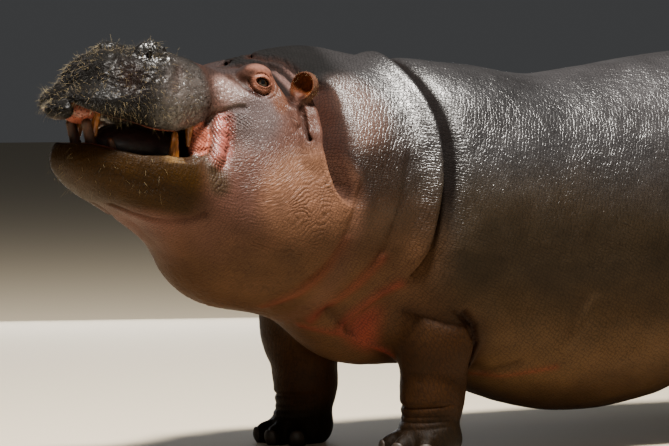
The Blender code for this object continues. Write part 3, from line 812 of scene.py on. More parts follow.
def drawn(field, axes):
    """Points and quads on the field's surface, sampled finely only in the blocks near it."""
    middles = [a.reshape(-1, BLOCK).mean(axis=1) for a in axes]
    sizes = [a.reshape(-1, BLOCK)[:, -1] - a.reshape(-1, BLOCK)[:, 0] for a in axes]
    grid = np.stack(np.meshgrid(*middles, indexing="ij"), -1).reshape(-1, 3)
    extent = np.stack(np.meshgrid(*sizes, indexing="ij"), -1).reshape(-1, 3)
    coarse = spread(field, grid)
    near = np.abs(coarse) < BLOCK_REACH * np.linalg.norm(extent, axis=1)
    shape = [len(m) for m in middles]
    values = coarse.reshape(shape).astype(np.float32)
    near = near.reshape(shape)
    for axis in range(3):
        values = values.repeat(BLOCK, axis)
        near = near.repeat(BLOCK, axis)
    places = np.argwhere(near)
    at = np.column_stack([axes[i][places[:, i]] for i in range(3)])
    values[tuple(places.T)] = spread(field, at)
    volume = openvdb.FloatGrid(1.0)
    volume.copyFromArray(values)
    points, quads = volume.convertToQuads(isovalue=0.0)
    points = np.column_stack([np.interp(points[:, i], np.arange(len(axes[i])), axes[i]) for i in range(3)])
    return points, quads.astype(np.int64)


def even(low, high, step):
    return [marks(a, b, lambda x: step) for a, b in zip(low, high)]


def split_edges(quads, total):
    """Keys of the quads' edges, each the same from both sides."""
    ends = np.stack([quads, np.roll(quads, -1, axis=1)], -1)
    ends.sort(axis=2)
    return ends[..., 0] * total + ends[..., 1]


def refined(points, quads, others, wanted):
    """The mesh with each wanted quad in four, and the new points added to the faces beside them."""
    total = len(points)
    keys = split_edges(quads, total)
    unique, slots = np.unique(keys[wanted], return_inverse=True)
    slots = slots.reshape(-1, 4)
    middles = 0.5 * (points[unique // total] + points[unique % total])
    chosen = quads[wanted]
    centres = points[chosen].mean(axis=1)
    first = total + slots
    last = total + len(unique) + np.arange(len(chosen))
    small = []
    for i in range(4):
        corner = chosen[:, i]
        small.append(np.column_stack([corner, first[:, i], last, first[:, i - 1]]))
    kept = ~wanted
    touched = np.isin(keys, unique) & kept[:, None]
    beside = touched.any(axis=1)
    number = {key: total + i for i, key in enumerate(unique.tolist())}

    def with_middles(face):
        grown = []
        for a, b in zip(face, face[1:] + face[:1]):
            grown.append(a)
            key = min(a, b) * total + max(a, b)
            if key in number:
                grown.append(number[key])
        return grown

    others = [with_middles(face) for face in others + quads[beside].tolist()]
    quads = np.concatenate([quads[kept & ~beside], *small])
    return np.concatenate([points, middles, centres]), quads, others


def gradient(field, points, step=0.0012):
    """The field's value and its slope at points."""
    here = spread(field, points)
    slope = np.empty_like(points)
    for axis in range(3):
        moved = points.copy()
        moved[:, axis] += step
        slope[:, axis] = (spread(field, moved) - here) / step
    return here, slope


def settled(field, points, limit, rounds=2):
    """The points moved onto the field's surface, never further than the limit in a round."""
    points = points.copy()
    for _ in range(rounds):
        here, slope = gradient(field, points)
        steep = np.maximum((slope**2).sum(axis=1), FLATTEST)
        move = -(here / steep)[:, None] * slope
        far = np.linalg.norm(move, axis=1)
        points += move * np.minimum(1, limit / np.maximum(far, 1e-9))[:, None]
    return points


def mesh_of(name, points, faces):
    mesh = bpy.data.meshes.new(name)
    mesh.from_pydata(points.tolist(), [], faces)
    mesh.shade_smooth()
    return mesh


def normals_of(mesh):
    normals = np.empty(3 * len(mesh.vertices))
    mesh.vertex_normals.foreach_get("vector", normals)
    return normals.reshape(-1, 3)


LATTICE_SIDE = 32
LATTICE = np.random.default_rng(7).uniform(-1, 1, (LATTICE_SIDE,) * 3)


def noise(p, size):
    """Smooth noise between -1 and 1, with features of about that size."""
    q = p / size
    cell = np.floor(q).astype(int)
    t = q - cell
    t = t * t * (3 - 2 * t)
    value = np.zeros(len(p))
    for corner in np.ndindex(2, 2, 2):
        weight = np.prod(np.where(np.array(corner) == 1, t, 1 - t), axis=1)
        i, j, k = ((cell + corner) % LATTICE_SIDE).T
        value += weight * LATTICE[i, j, k]
    return value


# ---------------------------------------------------------------- where things are on the skin


def near(p, centre, radii, soft, square=2.0):
    """1 inside an ellipsoid, falling to 0 over that distance outside it."""
    return until(ellipsoid(p, centre, radii, square=square), -0.3 * soft, 0.7 * soft)


def near_route(p, route, reach):
    """1 on a route, falling to 0 at that reach."""
    return until(limb(p, *through(route)), 0.25 * reach, reach)


def ripples(across, spacing):
    """Rounded crests between sharp valleys, from -0.64 to 0.36, at that spacing."""
    return np.abs(np.sin(2 * math.pi * across / spacing / 2)) - 0.64


# Routes on the face, in the head's axes on its left side.
CORNER_CREASES = (
    (0.395, 0.145, -0.305), (0.392, 0.175, -0.350), (0.385, 0.215, -0.395), (0.375, 0.238, -0.430),
)
ABOVE_CORNER = ((0.332, 0.176, -0.186), (0.304, 0.184, -0.192), (0.272, 0.190, -0.208))
PLEATS = ((0.350, 0.17, -0.215), (0.348, 0.17, -0.260), (0.356, 0.18, -0.310), (0.375, 0.20, -0.350))
SWELLING = ((0.350, 0.18, -0.205), (0.345, 0.18, -0.255), (0.352, 0.19, -0.310), (0.372, 0.20, -0.350))
INNER_FLESH = ((0.420, 0.130, -0.245), (0.420, 0.135, -0.300), (0.428, 0.145, -0.345))
BEFORE_BROW = (
    (0.335, 0.060, -0.040), (0.300, 0.095, -0.044), (0.250, 0.080, -0.016), (0.200, 0.070, 0.0),
)
EYE_HOLLOW = (
    (0.305, 0.113, -0.053), (0.283, 0.124, -0.050), (0.262, 0.140, -0.042), (0.246, 0.147, -0.037),
)
UNDER_LID = ((0.272, 0.154, -0.078), (0.252, 0.170, -0.094), (0.225, 0.184, -0.103))
CREST_AHEAD = (
    (0.150, 0.030, 0.036), (0.116, 0.070, 0.034), (0.092, 0.094, 0.028), (0.070, 0.125, 0.006),
    (0.050, 0.150, -0.020),
)
CREST_BEHIND = (
    (0.130, 0.120, -0.008), (0.111, 0.145, -0.029), (0.097, 0.171, -0.050), (0.090, 0.195, -0.075),
)
# Where the dark crown begins: outward from the middle of the head, against how far forward.
CROWN_EDGE = curve((0.0, 0.225), (0.06, 0.215), (0.10, 0.186), (0.135, 0.163), (0.16, 0.145),
                   (0.205, 0.118))
CHEEK_CENTRE = (0.33, -0.20)  # forward and up: the cheek's fine ripples run round it
CHEEK_FRONT = ((0.330, 0.148, -0.108), (0.060, 0.07, 0.045), 0.03)  # between the eye and the muzzle


def corner_creases(p, m):
    """Creases beside the corner of the mouth: how strong they are and their crests and valleys."""
    across = m[:, 0] + 0.27 * m[:, 2] + 0.016 * noise(p, 0.035)
    return near_route(m, CORNER_CREASES, 0.058), ripples(across, 0.0105)


def inner_creases(p, m):
    """Crests and valleys of the flesh just inside the corner of the mouth."""
    return ripples(m[:, 2] - 0.5 * m[:, 0] + 0.005 * noise(p, 0.03), 0.011)


def corner_lines(p, m):
    """The short creases above the mouth's corner, and the pleats of the swelling beside it."""
    above = 0.87 * m[:, 2] - 0.5 * m[:, 0] + 0.004 * noise(p, 0.03)
    beside = m[:, 2] - 0.35 * m[:, 0] + 0.9 * m[:, 1] + 0.008 * noise(p + 7, 0.03)
    return (
        (near_route(m, ABOVE_CORNER, 0.036), ripples(above, 0.0095)),
        (near_route(m, PLEATS, 0.050), ripples(beside, 0.0135)),
    )


def soft_lines(p, m):
    """The folds of the jowl and of the throat: for each, where it is and its crests and valleys."""
    jowl = until(ellipsoid(m, (0.03, 0.33, -0.46), (0.115, 0.12, 0.125)), -0.03, 0.04)
    bend = 0.022 * noise(p + 9, 0.045) + 0.008 * noise(p + 3, 0.018)
    over_jowl = ripples(0.80 * m[:, 2] + 0.60 * m[:, 0] + bend, 0.0150)
    throat = until(ellipsoid(p, (-0.62, 0, 0.64), (0.30, 0.40, 0.26)), -0.05, 0.06)
    bend = 0.040 * noise(p + 9, 0.06) + 0.014 * noise(p + 3, 0.022)
    return (jowl, over_jowl), (throat, ripples(p[:, 2] + 0.35 * p[:, 0] + bend, 0.0170))


def wrinkles(p):
    """How far fine wrinkles lift the skin at points over the left front foot."""
    h = to_head(p)
    m = mirrored(h)
    warp = 0.016 * noise(p, 0.060) + 0.006 * noise(p + 5, 0.022)
    on_cheek = until(ellipsoid(m, (0.17, 0.25, -0.37), (0.22, 0.20, 0.22)), -0.03, 0.05)
    (on_jowl, over_jowl), (on_throat, over_throat) = soft_lines(p, m)
    round_cheek = np.hypot(m[:, 0] - CHEEK_CENTRE[0], m[:, 2] - CHEEK_CENTRE[1]) + 0.8 * warp
    lift = 0.0009 * ripples(round_cheek, 0.0115) * on_cheek * (1 - on_jowl)
    lift += 0.0027 * over_jowl * on_jowl * (0.7 + 0.6 * noise(p + 1, 0.04))
    lift += 0.0024 * over_throat * on_throat * (0.6 + 0.6 * noise(p + 8, 0.06))
    lift += 0.0010 * noise(p, 0.009) * on_throat
    # the mouth's corner
    corner, crests = corner_creases(p, m)
    (above, over_above), (pleats, over_pleats) = corner_lines(p, m)
    inner = near_route(m, INNER_FLESH, 0.040)
    lift += 0.0022 * crests * corner + 0.0030 * over_above * above
    lift += 0.0024 * inner_creases(p, m) * inner + 0.0030 * over_pleats * pleats * (1 - inner)
    # the crown, in front of the eye, the muzzle's pad and its nose
    crown = until(ellipsoid(m, (0.12, 0.06, 0.03), (0.11, 0.14, 0.07)), -0.01, 0.02)
    lift += 0.0030 * ripples(m[:, 0] + 0.3 * m[:, 1] + warp, 0.019) * crown
    lift += (0.0010 * noise(p + 2, 0.007) + 0.0012 * noise(p + 5, 0.014)) * near(m, *CHEEK_FRONT)
    pad = near(m, (0.50, 0.20, -0.155), (0.115, 0.12, 0.125), 0.10)
    lift += (0.0016 * noise(p + 3, 0.010) + 0.0012 * np.abs(noise(p + 7, 0.018))) * pad
    nose = until(ellipsoid(m, (0.72, 0.10, -0.10), (0.16, 0.16, 0.12)), -0.05, 0.02)
    lift += (0.0050 * noise(p, 0.030) + 0.0030 * noise(p + 2, 0.013) - 0.0025) * nose
    mounds = until(ellipsoid(m, (0.64, 0.14, -0.04), (0.055, 0.05, 0.05)), -0.01, 0.015)
    lift += (0.0070 * np.abs(noise(p + 4, 0.018)) + 0.003 * noise(p + 6, 0.008)) * mounds
    # everywhere
    bumps = noise(p, 0.035) * 0.0012 + noise(p, 0.15) * 0.004
    still = 1 - fade(h[:, 0], -0.2, 0.0) * 0.7
    return lift + bumps * still * fade(p[:, 2], 0.0, 0.05)


# ---------------------------------------------------------------- the skin's colours


def srgb(red, green, blue):
    """A colour given as the eye sees it, 0 to 255, as linear light."""
    c = np.array([red, green, blue]) / 255
    return np.where(c < 0.04045, c / 12.92, ((c + 0.055) / 1.055) ** 2.4)


SLATE = srgb(50, 48, 49)
SLATE_DARK = srgb(14, 13, 13)
FLANK = srgb(40, 31, 20)
BELLY = srgb(76, 55, 33)
BROWN = srgb(38, 22, 10)
LEG = srgb(44, 24, 5)
FOOT = srgb(22, 13, 4)
NECK = srgb(34, 20, 11)
NAPE = srgb(96, 70, 60)
CHEEK = srgb(88, 60, 51)
CHEEK_GREY = srgb(90, 80, 80)
JOWL = srgb(122, 87, 68)
THROAT = srgb(72, 49, 31)
FOLD_RED = srgb(112, 36, 31)
# Painted shade: the dark brown laid into folds, creases, the valley behind the cheek and the ear's cup.
PAINTED_SHADE = srgb(40, 18, 9)
OLIVE = srgb(44, 26, 1)
MUZZLE = srgb(8, 6, 4)
PAD = srgb(78, 71, 67)
PINK = srgb(136, 72, 54)
CORNER = srgb(172, 96, 76)
BULGE = srgb(178, 98, 86)
CREASE_GREY = srgb(58, 50, 34)
# the gums' dark red, laid by depth so that it also stands in for shade deeper in the mouth
GUM_AND_SHADE = srgb(72, 24, 14)
# painted shade, near black, deep in the mouth
MOUTH_SHADE = srgb(12, 4, 3)
RIM = srgb(128, 98, 60)
LIDS = srgb(122, 78, 62)
PALE = srgb(126, 106, 101)
BROW = srgb(108, 73, 62)
FOREHEAD = srgb(44, 36, 35)
# a painted highlight on the crests of the crown's folds, in a lighter pinkish colour
CREST_HIGHLIGHT = srgb(110, 84, 78)
# painted shade round the eye
LID_SHADE = srgb(46, 24, 18)
# painted shade for the hollow in front of the eye
HOLLOW_SHADE = srgb(54, 34, 26)
STRIP = srgb(92, 60, 46)
EAR_IN = srgb(104, 50, 14)
EAR_BACK = srgb(84, 56, 42)


def mixed(colour, other, amount):
    return colour + (np.asarray(other) - colour) * np.clip(amount, 0, 1)[:, None]


def painted(colour, *layers):
    """The colour under layers, each of them another colour and how much of it there is."""
    for other, amount in layers:
        colour = mixed(colour, other, amount)
    return colour


class Spots:
    """Points of the skin over the left front foot, and what their colours and their gloss go by."""

    def __init__(self, p):
        self.p = p
        self.h = to_head(p)
        self.m = mirrored(self.h)
        u, v, w = self.m.T
        self.wander = 0.05 * noise(p, 0.22) + 0.02 * noise(p, 0.07)
        self.height = p[:, 2] + self.wander
        self.ahead = until(p[:, 0] + self.wander, -0.30, 0.05)
        away = [np.hypot(p[:, 0] - x, p[:, 1] - y) for x, y in FEET]
        self.beside_leg = until(np.minimum.reduce(away), 0.15, 0.24)
        past, runs = behind_cheek(self.m)
        self.on_head = fade(-past / (0.012 + 0.10 * fade(-w, 0.36, 0.50)), -1, 0)
        # how much painted shade lies in the valley behind the cheek's edge, which is also kept dry
        self.shade = fade(past, -0.001, 0.005) * until(past, 0.060, 0.150) * runs
        top = fade(w + 0.2 * self.wander + 0.35 * np.clip(u - 0.22, 0, 0.2), -0.035, 0.005)
        self.forehead = self.on_head * top * until(u, 0.38, 0.44)
        crown = fade(CROWN_EDGE(v)[0] - u, -0.003, 0.005)
        self.crown = crown * fade(w, -0.11, -0.085) * fade(u, -0.10, 0.0)
        # where the crown's folds crest, for their painted highlight, which grows stronger outward towards
        # the ear
        crest = np.maximum(near_route(self.m, CREST_AHEAD, 0.020), near_route(self.m, CREST_BEHIND, 0.022))
        self.crest = crest * (0.08 + 0.72 * fade(v, 0.085, 0.145))
        self.jaw = fade(u + 0.5 * self.wander, 0.35, 0.50) * fade(-w, 0.33, 0.35)
        self.muzzle = fade(u + 0.3 * self.wander, 0.37, 0.46) * fade(w, -0.33, -0.29)
        pad = near(self.m, (0.50, 0.20, -0.165), (0.115, 0.12, 0.115), 0.14)
        pad = pad * (0.8 + 0.35 * noise(p, 0.010) + 0.2 * noise(p, 0.05))
        self.pad = pad * (1 - 0.5 * fade(w, -0.14, -0.07))
        self.swelling = near_route(self.m, SWELLING, 0.050)
        self.corner, self.crests = corner_creases(p, self.m)
        # inside the mouth: how deep each point lies under the closed head
        self.under = -closed_head(self.h)
        self.inside = fade(self.under, 0.001, 0.005) * until(mouth(self.h), 0.006, 0.016)
        # how deep the neck's folds and the face's lines are here: they carry painted shade and keep the skin
        # dry
        self.folds = np.clip(folds(p, np.zeros(len(p))) / 0.022, 0, 1) * (p[:, 0] > -0.8)
        self.creases = np.clip(face_lines(self.m) / 0.018, 0, 1)


def body_colour(s):
    p, height = s.p, s.height
    return painted(
        np.tile(SLATE, (len(p), 1)),
        (SLATE_DARK, 0.35 + 0.45 * noise(p, 0.3)),
        (FLANK, until(height, 0.80, 1.10)),
        (BELLY, until(height, 0.28, 0.66)),
        (BROWN, until(height, 0.16, 0.34) * 0.6),
        (NECK, s.ahead * until(height, 1.10, 1.28) * 0.9),
        (NAPE, near(p, (-0.30, -0.30, 1.20), (0.10, 0.16, 0.10), 0.12) * 0.7),
        (THROAT, until(p[:, 0], -0.15, 0.05) * until(height, 0.66, 0.92)),
        (LEG, until(height, 0.36, 0.60) * s.beside_leg),
        (FOOT, until(height, 0.08, 0.22) * s.beside_leg),
    )


def head_colour(colour, s):
    m = s.m
    u, v, w = m.T
    from_eye = np.linalg.norm(m - np.array(EYE), axis=1)
    nape = fade(-u, -0.04, 0.0) * fade(w, 0.0, 0.04) * until(-u, 0.05, 0.16)
    return painted(
        colour,
        (SLATE_DARK * 0.5, nape * 0.9),
        # painted shade in the valley behind the cheek
        (PAINTED_SHADE * 0.4, s.shade),
        (CHEEK, s.on_head * until(w - 0.4 * v + 0.3 * s.wander, -0.08, 0.0)),
        (JOWL, near(m, (0.06, 0.32, -0.44), (0.16, 0.14, 0.16), 0.10)),
        (CHEEK_GREY, near(m, (0.245, 0.20, -0.185), (0.075, 0.09, 0.085), 0.09) * 0.85),
        (THROAT, fade(-w - 0.35 * u + s.wander, 0.40, 0.60) * s.on_head),
        (SLATE_DARK, s.forehead * 0.8),
        (FOREHEAD, near_route(m, BEFORE_BROW, 0.050) * 0.9),
        (PALE, near(m, (0.325, 0.148, -0.106), (0.048, 0.07, 0.032), 0.06) * 0.8),
        (BROW, near(m, (0.212, 0.145, -0.030), (0.052, 0.040, 0.030), 0.016)),
        (STRIP, near(m, (0.150, 0.190, -0.090), (0.026, 0.050, 0.070), 0.03) * 0.9),
        (LIDS, near(m, EYE, (0.046, 0.046, 0.040), 0.020)),
        # painted shade in the hollow in front of the eye and at its inner corner
        (HOLLOW_SHADE, near_route(m, EYE_HOLLOW, 0.028) * 0.85),
        (HOLLOW_SHADE, near(m, (0.272, 0.150, -0.066), (0.026, 0.030, 0.014), 0.012) * 0.9),
        # painted shade in the gap round the eyeball and in the crease under the lower lid
        (LID_SHADE, until(from_eye, EYE_RADIUS + 0.001, EYE_RADIUS + 0.006)),
        (LID_SHADE, near_route(m, UNDER_LID, 0.020) * fade(from_eye, 0.034, 0.040)),
        (SLATE_DARK, s.crown * until(v, 0.19, 0.21)),
        # painted highlight on the crests of the crown's folds
        (CREST_HIGHLIGHT, s.crest * 0.9),
        (OLIVE, s.jaw * until(-w, 0.53, 0.58)),
        (MUZZLE, s.muzzle),
        (PAD, s.pad * fade(u, 0.33, 0.46)),
        (BULGE * 0.9, s.swelling),
        (CREASE_GREY, s.swelling * fade(-w, 0.29, 0.37) * 0.55),
        (CREASE_GREY, s.corner * (1 - s.swelling) * 0.7),
        # painted shade in the valleys between the creases at the mouth's corner
        (PAINTED_SHADE, s.corner * fade(-s.crests, 0.0, 0.5) * 0.9),
    )


def wrinkle_shade_and_lip_rim(colour, s):
    """Painted shade in the valleys between the wrinkles round the mouth, on the jowl and on the throat, and
    the lower lip's pale rim.
    """
    for where, crests in corner_lines(s.p, s.m):
        colour = mixed(colour, colour * 0.3, where * fade(-crests, 0.05, 0.5) * 0.75)
    colour = mixed(colour, RIM, until(lip_roll(s.m), 0.002, 0.009) * until(s.m[:, 0], 0.53, 0.61))
    patchy = 0.30 + 0.4 * noise(s.p + 6, 0.05)
    for where, crests in soft_lines(s.p, s.m):
        colour = mixed(colour, colour * 0.45, where * fade(-crests, 0.0, 0.5) * patchy)
    return colour


def mouth_colour(colour, s):
    h, m = s.h, s.m
    u, v, w = m.T
    lining = mixed(np.tile(OLIVE, (len(h), 1)), PINK, fade(w + 0.2 * (u - 0.5), -0.33, -0.31))
    flesh_end = near(m, (0.416, 0.130, -0.295), (0.038, 0.050, 0.066), 0.022)
    return painted(
        colour,
        (lining, s.inside * until(u, 0.845, 0.87)),
        # darker deeper in the mouth: the gums' colour and painted shade
        (GUM_AND_SHADE, s.inside * fade(s.under, 0.022, 0.045)),
        (CORNER, flesh_end),
        # painted shade in the valleys of the flesh at the mouth's corner and deep inside the mouth
        (MOUTH_SHADE, flesh_end * fade(-inner_creases(s.p, m), 0.1, 0.5) * 0.6),
        (MOUTH_SHADE, s.inside * near(h, (0.57, 0, -0.325), (0.195, 0.135, 0.10), 0.03, 2.4)),
        (PINK, near(h, (0.812, 0, -0.266), (0.054, 0.064, 0.040), 0.010)),
    )


def ear_colour(colour, s):
    for q in in_ears(s.p):
        x, y, z = q.T
        cup = fade(z, 0.022, 0.050) * (np.linalg.norm(q, axis=1) < EAR_SPAN) * until(ear(q), 0.002, 0.006)
        hollow = near(q, (-0.006, -0.030, 0.084), (0.046, 0.049, 0.048), 0.004)
        colour = painted(
            colour,
            (EAR_BACK, cup),
            # painted shade at the cup's open side, on its -X side
            (PAINTED_SHADE, cup * until(y, -0.018, -0.004) * until(x, 0.0, 0.03)),
            (EAR_IN, cup * hollow),
            # painted shade over the -X side of the hollow
            (PAINTED_SHADE, cup * hollow * until(x, -0.018, 0.022) * 0.6),
            # painted shade in the pit at the bottom of the cup
            (PAINTED_SHADE, cup * near(q, (0.0, -0.015, 0.052), (0.022, 0.022, 0.026), 0.02)),
        )
    return colour


def folded_colour(colour, s):
    """The red of the raised folds of the chest, the flank and the belly, and painted shade in the folds of
    the neck, the creases of the body and the lines of the face.
    """
    chest = near(mirrored(s.p), (-0.165, 0.235, 0.440), (0.10, 0.09, 0.07), 0.10) * (1 - s.beside_leg)
    return painted(
        colour,
        (FOLD_RED, np.maximum(ridges(s.p)[1], chest * 0.55)),
        # painted shade in the neck's folds and the band behind each, above about 0.7 m
        (PAINTED_SHADE * 0.1, s.folds * fade(s.p[:, 2], 0.70, 0.95) * 0.95),
        # painted shade in the body's creases
        (PAINTED_SHADE * 0.5, np.clip(side_creases(s.p) / 0.020, 0, 1) * 0.7),
        # painted shade in the face's lines and dents and the valley behind the cheek
        (PAINTED_SHADE, s.creases * 0.85),
    )


def film(s):
    """How rough the skin is, and how much of a wet sheen it has."""
    p, m, height = s.p, s.m, s.height
    dry = np.maximum(s.crown, s.forehead) * (1 - s.muzzle) * (1 - 0.3 * s.crest) + s.shade
    dry = dry + near(p, (-0.30, 0, 1.42), (0.20, 0.40, 0.12), 0.08) + s.folds + 0.8 * s.creases
    dry = np.clip(dry, 0, 1)
    rough = 0.40 + 0.06 * noise(p, 0.05) + 0.20 * until(height, 0.5, 1.0) + 0.04 * s.on_head
    rough = rough + 0.25 * s.muzzle * (1 - s.pad) + 0.12 * s.jaw + 0.4 * dry - 0.1 * s.inside
    wet = fade(height, 0.70, 1.00) * (1 - s.on_head) * (1.0 + 0.4 * noise(p, 0.12)) * (1 - 0.48 * s.ahead)
    wet = wet + 0.7 * near(p, (-0.27, -0.30, 1.24), (0.09, 0.16, 0.09), 0.10)
    wet = painted(
        wet[:, None],
        (0.09, near(m, (0.20, 0.22, -0.28), (0.16, 0.18, 0.24), 0.10)),
        (0.35, near(m, *CHEEK_FRONT)),
        (0.03, near(m, (0.08, 0.32, -0.42), (0.14, 0.14, 0.14), 0.12)),
        (0.10, s.muzzle),
        (1.0, s.pad),
        (0.8, near(m, (0.635, 0.14, -0.04), (0.06, 0.05, 0.05), 0.03)),
        (1.0, s.swelling),
        (0.8, s.inside),
        (0.06, s.corner),
    )[:, 0]
    wet = wet * (1 - dry) * (1 - s.beside_leg * until(height, 0.4, 0.6))
    return np.clip(rough, 0.15, 0.9), np.clip(wet, 0, 1)


def hide(p):
    """The skin's colour, how rough it is and how wet, at points over the left front foot."""
    s = Spots(p)
    colour = body_colour(s)
    for layer in (head_colour, wrinkle_shade_and_lip_rim, mouth_colour, ear_colour, folded_colour):
        colour = layer(colour, s)
    return np.clip(colour, 0, 1), *film(s)


def relief(p):
    """How strong the net of lines, the ripples and the pores are at points, from 0 to 1."""
    m = mirrored(to_head(p))
    u, _, w = m.T
    cheek = near(m, (0.19, 0.22, -0.28), (0.16, 0.18, 0.22), 0.08)
    pores = fade(u, 0.38, 0.46) * (0.3 + 0.7 * fade(w, -0.34, -0.28))
    throat = near(p, (-0.66, 0, 0.62), (0.34, 0.45, 0.24), 0.14) * (1 - cheek)
    by_eye = near(m, (0.20, 0.16, -0.05), (0.10, 0.08, 0.08), 0.04)
    net = (1 - cheek) * (1 - 0.3 * throat) * (1 - 0.7 * pores) * (1 - 0.6 * by_eye)
    return np.column_stack([net, cheek, pores, np.ones(len(p))])


def lie(p):
    """Across, along and into the cheek's ripples, in metres."""
    m = mirrored(to_head(p))
    ahead, up = m[:, 0] - CHEEK_CENTRE[0], m[:, 2] - CHEEK_CENTRE[1]
    warp = 0.014 * noise(p, 0.06) + 0.004 * noise(p + 5, 0.02)
    return np.column_stack([np.hypot(ahead, up) + warp, 0.2 * np.arctan2(up, -ahead), m[:, 1]])


# ---------------------------------------------------------------- the skin's mesh

def body_step(x):
    """How far apart the samples are along the body: closer at the head."""
    return HEAD_STEP + (BODY_STEP - HEAD_STEP) * float(fade(np.array(x), *HEAD_ENDS))


def middle_in_head(points, quads):
    return mirrored(to_head(points[quads].mean(axis=1)))


along, across, upward = SKIN_SPAN
axes = [marks(*along, body_step), *even(*zip(across, upward), CROSS_STEP)]
points, quads = drawn(flesh, axes)
m = middle_in_head(points, quads)
face_part = ((m > FACE_BOX[0]) & (m < FACE_BOX[1])).all(axis=1)
face_part |= np.linalg.norm(m - NOSTRIL_SPOT[0], axis=1) < NOSTRIL_SPOT[1]
points, quads, others = refined(points, quads, [], face_part)
eye_part = np.linalg.norm(middle_in_head(points, quads) - EYE, axis=1) < EYE_SPOT
points, quads, others = refined(points, quads, others, eye_part)
front = points[:, 0] < 0.25
points[front] = settled(flesh, points[front], 0.3 * HEAD_STEP)

skin_mesh = mesh_of("skin", points, quads.tolist() + others)
points = points + normals_of(skin_mesh) * spread(wrinkles, points)[:, None]
points[:, 2] = np.maximum(points[:, 2], 0)
skin_mesh.vertices.foreach_set("co", points.ravel())
skin_mesh.update()

# Where the solids stand against the forms: the left eye is the same piece in both.
eye_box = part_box("eye_left")
OFFSET = (Vector(eye_box[0]) + Vector(eye_box[1])) / 2 - from_head(EYE, 1)
OFFSET.z = 0


def added(name, data):
    """A new object in the scene."""
    thing = bpy.data.objects.new(name, data)
    bpy.context.scene.collection.objects.link(thing)
    return thing


def piece_of(name, mesh, matrix=None):
    """A visible piece, made over the left front foot or under a matrix there."""
    piece = added(name, mesh)
    piece.matrix_world = Matrix.Translation(OFFSET) @ (matrix or Matrix())
    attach(piece, "root")
    return piece


skin = piece_of("skin", skin_mesh)


def keep(mesh, name, kind, values):
    """Values at the mesh's points, under a name that its material reads."""
    attribute = mesh.attributes.new(name, kind, "POINT")
    socket = {"FLOAT": "value", "FLOAT_COLOR": "color", "FLOAT_VECTOR": "vector"}[kind]
    attribute.data.foreach_set(socket, np.ascontiguousarray(values, dtype=float).ravel())


tones = spread(lambda p: np.column_stack(hide(p)), points)
keep(skin_mesh, "hide", "FLOAT_COLOR", np.column_stack([tones[:, :3], np.ones(len(points))]))
keep(skin_mesh, "gloss", "FLOAT", tones[:, 3])
keep(skin_mesh, "wet", "FLOAT", tones[:, 4])
keep(skin_mesh, "relief", "FLOAT_COLOR", spread(relief, points))
keep(skin_mesh, "lie", "FLOAT_VECTOR", spread(lie, points))

# ---------------------------------------------------------------- materials


class Nodes:
    """A short way to write a material's node tree."""

    def __init__(self, name):
        self.material = bpy.data.materials.new(name)
        self.material.use_nodes = True
        self.tree = self.material.node_tree
        self.surface = self.tree.nodes["Principled BSDF"]
        self.place = self.add("TexCoord").outputs["Object"]

    def add(self, kind, links=(), **values):
        node = self.tree.nodes.new("ShaderNode" + kind)
        for key, value in values.items():
            setattr(node, key, value)
        for socket, source in dict(links).items():
            self.link(source, node.inputs[socket])
        return node

    def link(self, source, socket):
        if hasattr(source, "is_output"):
            self.tree.links.new(source, socket)
        else:
            socket.default_value = source

    def maths(self, operation, a, b=0.0, c=0.0):
        return self.add("Math", {0: a, 1: b, 2: c}, operation=operation).outputs[0]

    def scaled(self, value, factor, more=0.0):
        return self.maths("MULTIPLY_ADD", value, factor, more)

    def noise(self, scale, detail, vector=None, output="Fac"):
        links = {"Vector": vector or self.place, "Scale": scale, "Detail": detail}
        return self.add("TexNoise", links).outputs[output]

    def kept(self, name, output="Fac"):
        """What the mesh keeps under that name."""
        return self.add("Attribute", attribute_name=name).outputs[output]

    def surfaced(self, colour, rough, height, strength, distance, **constants):
        """The surface's colour, roughness and bump, and constants under its sockets' names."""
        bump = self.add("Bump", {"Height": height, "Strength": strength, "Distance": distance}).outputs[0]
        for socket, source in {"Base Color": colour, "Roughness": rough, "Normal": bump}.items():
            self.link(source, self.surface.inputs[socket])
        for socket, value in constants.items():
            self.surface.inputs[socket].default_value = value
        return bump


